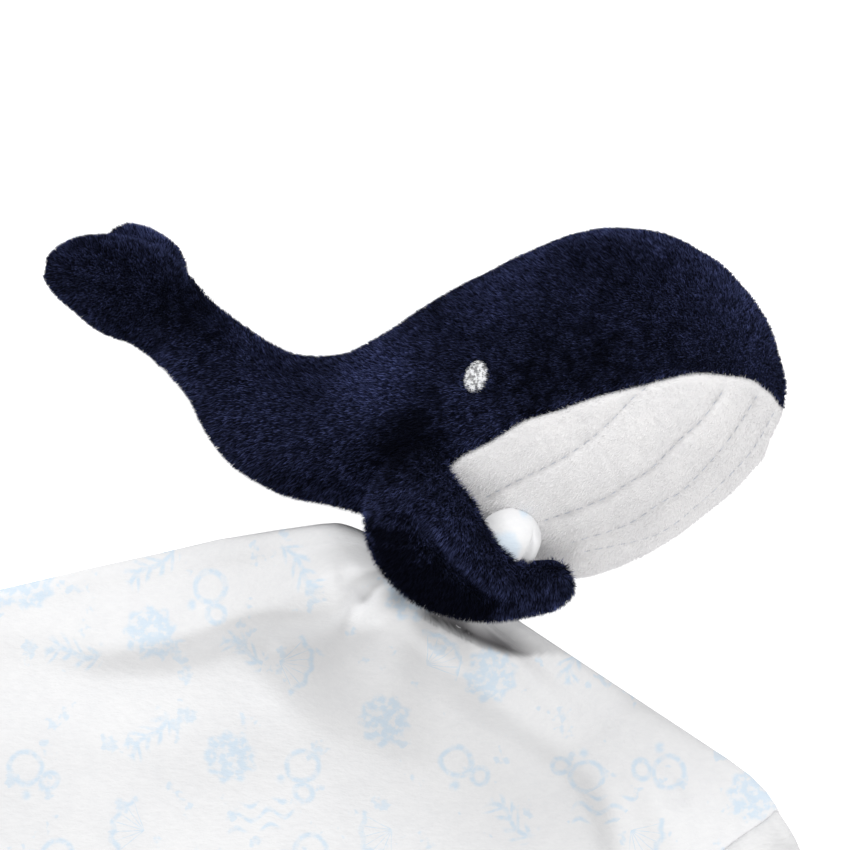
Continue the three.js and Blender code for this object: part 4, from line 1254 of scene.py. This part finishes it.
def make_whale():
    rings = whale_rows(NEAR_FINENESS[0])
    edge = belly_edge(rings)
    near_skin, near_grid = side_skin("near_side_skin", rings, edge, True, NEAR_FINENESS[1])
    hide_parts("near_side_panel", "tail_near_panel", "body_filling", "tail_filling")
    coarse = whale_rows(FAR_FINENESS[0])
    far_skin, far_grid = side_skin("far_side_skin", coarse, belly_edge(coarse), False, FAR_FINENESS[1])
    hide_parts("far_side_panel", "tail_far_panel")
    belly, belly_grid = belly_skin(rings, edge)
    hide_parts("belly_panel")
    pleat_stitching(surface_lookup(belly_grid))
    embroidered_eye("near_eye_embroidery", surface_lookup(near_grid), True)
    embroidered_eye("far_eye_embroidery", surface_lookup(far_grid), False)
    half = len(near_grid) // 2
    tail_pile = pile_on("near_tail_pile", near_grid[2:half])
    head_pile = pile_on("near_head_pile", near_grid[half - 1:-2])
    far_pile = pile_on("far_side_pile", far_grid[2:-2])
    belly_pile = pile_on("belly_pile", belly_grid, white_pile, "white_plush")
    for piece in (near_skin, far_skin, tail_pile, far_pile):
        over_tail_joint(piece)
    for piece in (belly, head_pile, belly_pile):
        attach(piece, BODY)


# Fluke and flippers


def lobe_skins(table, first, last, fineness, lift=0.6):
    """The two skins of a stuffed lobe or flipper, joined by a seam round its edge."""
    spacing, columns = fineness
    rings = smooth_rows(table, spacing)
    made = []
    for side, start, end in (("upper", math.pi / 2, -math.pi / 2), ("lower", -math.pi / 2, -1.5 * math.pi)):
        grid, centre = ring_grid(rings, first, last, start, end, columns)
        normals = grid_normals(grid, centre)
        grid = soft_lumps(grid, normals, 0.55)
        grid = sew_edges(grid, normals, LIMB_SEAM)
        made.append((side, above_table(grid, lift), normals))
    return made


def make_fluke():
    plans = [
        ("near_lobe", NEAR_LOBE_RINGS, NEAR_LOBE_ROOT, NEAR_LOBE_TIP, "fluke_upper_panel"),
        ("far_lobe", FAR_LOBE_RINGS, FAR_LOBE_ROOT, FAR_LOBE_TIP, "fluke_lower_panel"),
    ]
    for name, table, first, last, node in plans:
        for side, grid, normals in lobe_skins(table, first, last, LOBE_FINENESS):
            inner = above_table(grid - normals * LIMB_SKIN_THICKNESS, 0.9)
            skin = make_mesh(f"{name}_{side}_skin", *shell_between(grid, inner), navy_plush, "navy_plush")
            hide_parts(*((node, "fluke_filling") if side == "upper" else (node,)))
            pile = pile_on(f"{name}_{side}_pile", grid[1:-1])
            for piece in (skin, pile):
                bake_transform(piece)


def make_flipper(near):
    body = "near_flipper" if near else "far_flipper"
    root_start, root_end = (
        (x * MM, y * MM, (z if near else MIRROR_HEIGHT - z) * MM) for x, y, z in FLIPPER_BEND
    )
    table = []
    for ax, ay, az, bx, by, bz, half in FLIPPER_RINGS:
        table.append((*seen_place(ax, ay, az), az, *seen_place(bx, by, bz), bz, half))
    first = (*seen_place(*FLIPPER_ROOT), FLIPPER_ROOT[2])
    last = (*seen_place(*FLIPPER_TIP), FLIPPER_TIP[2])
    ridge = line_points([seen_place(x, y, 72) for x, y in FLIPPER_RIDGE])
    fineness = NEAR_FLIPPER_FINENESS if near else FAR_FLIPPER_FINENESS
    for side, grid, normals in lobe_skins(table, first, last, fineness, 0.0):
        if side == "upper":
            inward, nearest = side_of(grid, ridge)
            fade = smooth(np.minimum(nearest, len(ridge) - 1 - nearest) / RIDGE_FADE)
            lobe = RIDGE_HEIGHT * smooth((inward + 0.8) / 3.5) * bell(np.maximum(inward, 0), 0, RIDGE_WIDTH)
            valley = RIDGE_VALLEY * bell(inward, -1.8, VALLEY_WIDTH)
            grid = grid + normals * (fade * (lobe - valley))[:, :, None]
        inner = grid - normals * LIMB_SKIN_THICKNESS
        if not near:
            grid, inner = (g * (1, 1, -1) + (0, 0, MIRROR_HEIGHT) for g in (grid, inner))
            grid, inner = above_table(grid, 0.5), above_table(inner, 1.0)
        panel = "outer" if side == "upper" else "inner"
        skin = make_mesh(f"{body}_{panel}_skin", *shell_between(grid, inner), navy_plush, "navy_plush")
        nodes = [f"{body}_{panel}_panel"] + ([f"{body}_filling"] if panel == "outer" else [])
        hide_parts(*nodes)
        pile = pile_on(f"{body}_{panel}_pile", grid)
        for piece in (skin, pile):
            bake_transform(piece)
            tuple(root_start)
            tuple(root_end)


# Blanket


def cloth_reach(angle):
    """Length of the cloth from its middle to its edge in a direction of the cloth, with rounded corners."""
    half = BLANKET_SIDE / 2
    c, s = np.abs(np.cos(angle)), np.abs(np.sin(angle))
    straight = half / np.maximum(c, s)
    inner = half - CORNER_RADIUS
    along = inner * (c + s)
    rounded = along + np.sqrt(np.maximum(along**2 - 2 * inner**2 + CORNER_RADIUS**2, 0))
    return np.where(straight * np.minimum(c, s) <= inner, straight, rounded)


def cloth_columns(upper, lower, in_fold):
    """Directions in the cloth: 0 at the left fold, up to pi over the upper half, then back below."""
    zone = FOLD_ZONE
    spans = [
        np.linspace(-zone, zone, in_fold, endpoint=False),
        np.linspace(zone, math.pi - zone, upper, endpoint=False),
        np.linspace(math.pi - zone, math.pi + zone, in_fold, endpoint=False),
        np.linspace(math.pi + zone, 2 * math.pi - zone, lower, endpoint=False),
    ]
    return np.concatenate(spans)


def cloth_layout(angles):
    """For each direction: how far across the fan, from 0 at the left fold to 1, and the turn round a fold."""
    turn = np.where(angles > 1.5 * math.pi, angles - 2 * math.pi, angles)
    left = np.abs(turn) <= FOLD_ZONE
    right = np.abs(turn - math.pi) <= FOLD_ZONE
    span = math.pi - 2 * FOLD_ZONE
    upper_share = (turn - FOLD_ZONE) / span
    lower_share = (2 * math.pi - FOLD_ZONE - angles) / span
    share = np.where(angles < math.pi, upper_share, lower_share)
    share = np.where(left, 0, np.where(right, 1, share))
    turned = np.where(angles < math.pi, math.pi / 2, -math.pi / 2)
    turned = np.where(left, turn / FOLD_ZONE * math.pi / 2, turned)
    turned = np.where(right, (math.pi - turn) / FOLD_ZONE * math.pi / 2, turned)
    return share, turned


def cloth_grid(inset, angles, distances):
    """Points of the blanket at an inset from its outer face: a row for each share of the way to the edge."""
    share, turned = cloth_layout(angles)
    pulled = PULLED_THROUGH + PULLED_MORE_AT_RIGHT * rise(share, *RIGHT_HALF)
    pulled = pulled - PULLED_LESS_AT_FOLD * rise(share, *RIGHT_FOLD)
    reach = cloth_reach(angles + CORNER_TURN) - pulled
    r = distances[:, None] * reach[None, :]
    s = np.broadcast_to(share[None, :], r.shape)
    under = FALL_TOP * (1 - rise(r, FALL_START, FALL_END - FALL_START))
    puff = PUFF_HEIGHT * bell(r, *PUFF_PLACE)
    half = (LAID_HEIGHT + puff + ROOT_HEIGHT * (1 - smooth(r / ROOT_REACH))) / 2
    half = half * (EDGE_SHARE + (1 - EDGE_SHARE) * smooth(np.minimum(s, 1 - s) / EDGE_SOFTNESS))
    direction = LEFT_FOLD_ANGLE + (RIGHT_FOLD_ANGLE - LEFT_FOLD_ANGLE) * s
    root_x = LEFT_FOLD_ROOT[0] + (RIGHT_FOLD_ROOT[0] - LEFT_FOLD_ROOT[0]) * s
    root_y = LEFT_FOLD_ROOT[1] + (RIGHT_FOLD_ROOT[1] - LEFT_FOLD_ROOT[1]) * s
    outward = np.where(s < 0.5, direction - math.pi / 2, direction + math.pi / 2)
    beyond = (half - inset) * np.cos(turned)[None, :] - half * (np.abs(s - 0.5) * 2) ** 3
    bow = np.interp(r, *zip(*LEFT_FOLD_BOW)) * np.clip(1 - s / BOW_SHARE, 0, 1) ** 2
    bow += np.interp(r, *zip(*RIGHT_FOLD_BOW)) * np.clip(1 - (1 - s) / BOW_SHARE, 0, 1) ** 2
    beyond = beyond + bow
    x = root_x + r * np.cos(direction) + beyond * np.cos(outward)
    y = root_y + r * np.sin(direction) + beyond * np.sin(outward)
    lift = np.sin(turned)[None, :]
    z = under + half + (half - inset) * lift
    x, y = seen_place(x, y, z + 0 * x)
    fan = np.stack([x, y, z], axis=2)
    top_share = np.clip(lift, 0, 1) * smooth(np.minimum(s, 1 - s) / 0.13 + 0.04)
    fan[:, :, 2] += top_share * upper_folds(fan, r, s)
    below = np.clip(-lift, 0, 1) * smooth(np.minimum(s, 1 - s) / 0.1)
    fan[:, :, 2] += below * lower_folds(r, s)
    ring_angle = angles[None, :]
    radius = NECK_RADIUS - inset + 0.5 * np.cos(ring_angle * 11)
    ring = circle(np.array(NECK), FAN_ACROSS, np.array([0, 0, 1]), radius, ring_angle)
    blend = smooth(r / NECK_BLEND)[:, :, None]
    return ring * (1 - blend) + fan * blend


FAN_MIDDLE = (LEFT_FOLD_ANGLE + RIGHT_FOLD_ANGLE) / 2
FAN_ACROSS = np.array([-math.cos(FAN_MIDDLE + math.pi / 2), -math.sin(FAN_MIDDLE + math.pi / 2), 0])
FOLD_LINES = [(line_points(line, 1.0), height, width) for line, height, width in FOLDS]
STEP_PATH = smooth_rows(STEP_LINE, 1.0)
POCKET_PATH = line_points(POCKET_LIP, 1.0)


def upper_folds(fan, r, s):
    """Height that the folds add to the upper half."""
    extra = np.zeros(r.shape)
    flat = fan[:, :, :2]
    for line, height, width in FOLD_LINES:
        extra += height * bell(distance_to(flat, line), 0, width)
    above, nearest = side_of(flat, STEP_PATH)
    extra += STEP_PATH[nearest, 2] * smooth(above / STEP_WIDTH)
    behind, nearest = side_of(flat, POCKET_PATH)
    depth = np.interp(nearest, *zip(*POCKET_DEPTH)) * POCKET_FALL
    extra -= depth * smooth(behind / 2.2) * bell(np.maximum(behind, 0), 0, POCKET_WIDTH)
    gather = bell(r, *GATHER_PLACE)
    for count, height, phase in GATHER_WAVES:
        extra += height * gather * (1 + np.sin(2 * math.pi * count * s + phase + r * 0.02))
    soft = noise_at(np.dstack([flat, np.zeros(r.shape)]), SOFT_SIZE, 8)
    return extra + SOFT_HEIGHT * (1 + soft) * smooth(r / 40)


def lower_folds(r, s):
    """Height that the folds add to the lower half, which never reaches below the table."""
    extra = np.zeros(r.shape)
    for count, height, phase in LOWER_WAVES:
        extra += 0.5 * height * (1 + np.sin(2 * math.pi * count * s + phase))
    extra *= bell(r, *LOWER_PLACE) * rise(r, *LOWER_START)
    room = np.maximum(LAID_HEIGHT + PUFF_HEIGHT * bell(r, *PUFF_PLACE) - LOWER_ROOM, 0.6)
    return room * np.tanh(extra / room)


def gather_spine(at):
    """Middle and direction of the gather, at 0 in its neck, at 1 in its peak and straight on from there."""
    a, b, c = (np.array(p, float) for p in (NECK, ELBOW, PEAK))
    t = min(at, 1)
    along = unit(2 * (1 - t) * (b - a) + 2 * t * (c - b))
    middle = (1 - t) ** 2 * a + 2 * t * (1 - t) * b + t * t * c + along * max(at - 1, 0) * GATHER_LENGTH
    return middle, along


def gather_rows(inset, angles):
    """Rings of cloth from the tip of the peak down through the gather to its neck."""
    table = smooth_rows([(at * 40, radius, 0) for at, radius in GATHER_RINGS], 1.2)
    rows = []
    for at, radius, _ in table:
        at = at / 40
        centre, along = gather_spine(at)
        side = unit(FAN_ACROSS - along * (along @ FAN_ACROSS))
        upper = np.cross(side, along)
        upper *= -1 if upper[2] < 0 else 1
        pleats = 0.35 * np.cos(angles * 9 + at * 2) * smooth((1.12 - at) / 0.3)
        crease = sum(height * bell(angles, *place) for height, *place in GATHER_CREASE)
        crease *= smooth((1.3 - at) / 0.12)
        size = np.maximum(radius - inset + min(radius / 8, 1) * (pleats + crease), 0.05)
        rows.append(circle(centre, side, upper, size, angles))
    return np.array(rows)


def cloth_layer(name, inset, material, slot, angles, distances):
    """One layer of the blanket, closed at the tip of the peak."""
    sides = []
    for depth in (inset, inset + CLOTH_THICKNESS):
        grid = np.concatenate([gather_rows(depth, angles), cloth_grid(depth, angles, distances)])
        grid = above_table(grid, 0.2 + depth)
        tip = np.broadcast_to(grid[0].mean(axis=0), (1, grid.shape[1], 3))
        sides.append(np.concatenate([tip, grid]))
    piece = make_mesh(name, *shell_between(*sides, closed=True), material, slot)
    lay_pattern(piece)
    return piece


def lay_pattern(piece):
    """UV map of the laid cloth: a place's x and y in metres."""
    mesh = piece.data
    corners = np.empty(len(mesh.loops), int)
    mesh.loops.foreach_get("vertex_index", corners)
    mesh.uv_layers.new(name="laid").data.foreach_set("uv", vertex_places(mesh)[corners, :2].ravel())


def paint_pocket_shade(piece):
    """Painted shade of the pocket under the near flipper: how deep in it each point of the printed layer
    lies, from 0 to 1.
    """
    places = vertex_places(piece.data) / MM
    behind, nearest = side_of(places, POCKET_PATH)
    deep = np.interp(nearest, *zip(*POCKET_DEPTH)) * smooth(behind / 1.6)
    deep *= bell(np.maximum(behind, 0), 0, POCKET_SHADE_WIDTH) * (places[:, 2] > POCKET_FLOOR)
    piece.data.attributes.new("pocket", "FLOAT", "POINT").data.foreach_set("value", deep)


def hem_seam(angles):
    """The turned and sewn edge of the blanket, a soft roll that closes both layers."""
    deep = 2 * CLOTH_THICKNESS + LAYER_GAP
    share, turned = cloth_layout(angles)
    roll = rise(share, *ROLL_START) * (1 - ROLL_LESS_AT_FOLD * rise(share, *ROLL_END))
    roll = roll * np.where(angles > math.pi, smooth((turned + math.pi / 2) / (math.pi / 2)) * 0.999, 1)
    edge = cloth_grid(0.0, angles, np.array([0.98, 1.0]))
    outward = edge[1] - edge[0]
    outward[:, 2] = 0
    outward = unit(outward)
    rows = []
    for inset, distance, out, lift in HEM_SECTION:
        row = cloth_grid(deep * inset, angles, np.array([distance]))[0]
        row = row + outward * (roll * out)[:, None]
        row[:, 2] += roll * lift
        rows.append(row)
    pucker = 0.3 * np.sin(np.arange(len(angles)) * 1.9)
    rows[len(rows) // 2][:, 2] += pucker
    grid = above_table(np.array(rows), 0.25)
    count = len(angles)
    vertices = grid.reshape(-1, 3)
    faces = grid_faces(len(rows), count, 0, closed=True)
    last = (len(rows) - 1) * count
    faces += [[last + i, last + (i + 1) % count, (i + 1) % count, i] for i in range(count)]
    hem = make_mesh("blanket_hem", vertices, faces, plain_plush, "plain_plush")
    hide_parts("blanket_edge_seam")
    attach(hem, BODY)
    return hem


def binding_threads():
    """Closed loops of thread round the gather."""
    for name, at, radius, thickness in BINDING_THREADS:
        centre, along = gather_spine(at)
        side = unit(np.cross(along, (0, 0, 1)))
        upper = np.cross(side, along)
        turns = np.linspace(0, 2 * math.pi, 64, endpoint=False)
        rows = []
        for around in np.linspace(0, 2 * math.pi, 8, endpoint=False):
            out = radius + thickness * math.cos(around) + 0.15 * np.sin(turns * 9)
            rows.append(circle(centre, side, upper, out, turns) + along * thickness * math.sin(around))
        rows.append(rows[0])
        grid = np.array(rows)
        thread = make_mesh(name + "_loop", grid.reshape(-1, 3), grid_faces(len(rows), 64, 0, closed=True),
                           sewing_thread, "sewing_thread")
        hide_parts(name)
        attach(thread, BODY)


def cloth_rows(near, further):
    return np.concatenate([np.linspace(0, 0.3, near, endpoint=False), np.linspace(0.3, 1, further)])


def make_blanket():
    fine = cloth_columns(*FRONT_COLUMNS)
    rows = cloth_rows(*FRONT_ROWS)
    front = cloth_layer("printed_blanket_front", 0.0, printed_plush, "printed_plush", fine, rows)
    # painted shade: the pocket under the near flipper darkens the printed cloth
    paint_pocket_shade(front)
    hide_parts("blanket_front")
    coarse = cloth_columns(*BACK_COLUMNS)
    rows = cloth_rows(*BACK_ROWS)
    inset = CLOTH_THICKNESS + LAYER_GAP
    back = cloth_layer("plain_blanket_back", inset, plain_plush, "plain_plush", coarse, rows)
    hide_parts("blanket_back")
    for piece in (front, back):
        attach(piece, BODY)
    hem = hem_seam(fine)
    binding_threads()


# Stage, light and camera


def make_stage():
    a, z = FLOOR_REACH, FLOOR_HEIGHT
    mesh = bpy.data.meshes.new("pale floor")
    mesh.from_pydata([(-a, -a, z), (a, -a, z), (a, a, z), (-a, a, z)], [], [(0, 1, 2, 3)])
    floor = placed_object("pale floor", mesh)
    material, g, surface = start_material("pale floor")
    rays = g.add("ShaderNodeLightPath")
    seen = g.larger(rays["Is Camera Ray"], rays["Is Glossy Ray"])
    seen = g.larger(seen, rays["Is Transmission Ray"])
    g.join(
        surface, Base_Color=(0.9, 0.9, 0.9, 1), Roughness=1, Specular_IOR_Level=0,
        Emission_Color=(1, 1, 1, 1), Emission_Strength=g.times(seen, FLOOR_GLOW),
    )
    mesh.materials.append(material)


def make_lights():
    for name, (place, size, power) in LAMPS.items():
        light = bpy.data.lights.new(name, "AREA")
        light.shape = "DISK"
        light.size = size
        light.energy = power
        lamp = placed_object(name, light)
        lamp.location = place
        lamp.rotation_euler = (Vector(LIT_PLACE) - Vector(place)).to_track_quat("-Z", "Y").to_euler()
    world = bpy.data.worlds.new("studio")
    bpy.context.scene.world = world
    world.use_nodes = True
    sky = world.node_tree.nodes["Background"]
    sky.inputs["Color"].default_value = SKY_COLOUR
    sky.inputs["Strength"].default_value = SKY_STRENGTH


def make_camera():
    camera = bpy.data.cameras.new("camera")
    camera.sensor_width = SENSOR
    camera.lens = SENSOR * (CAMERA_HEIGHT - PICTURE_PLANE) / PICTURE_WIDTH
    camera.clip_start = 0.05
    view = placed_object("camera", camera)
    view.location = (PICTURE_CENTRE[0] * MM, PICTURE_CENTRE[1] * MM, CAMERA_HEIGHT * MM)
    bpy.context.scene.camera = view
    bpy.context.scene.view_settings.view_transform = "Standard"


make_lights()
make_camera()
make_stage()
make_whale()
make_fluke()
make_flipper(True)
make_flipper(False)
make_blanket()
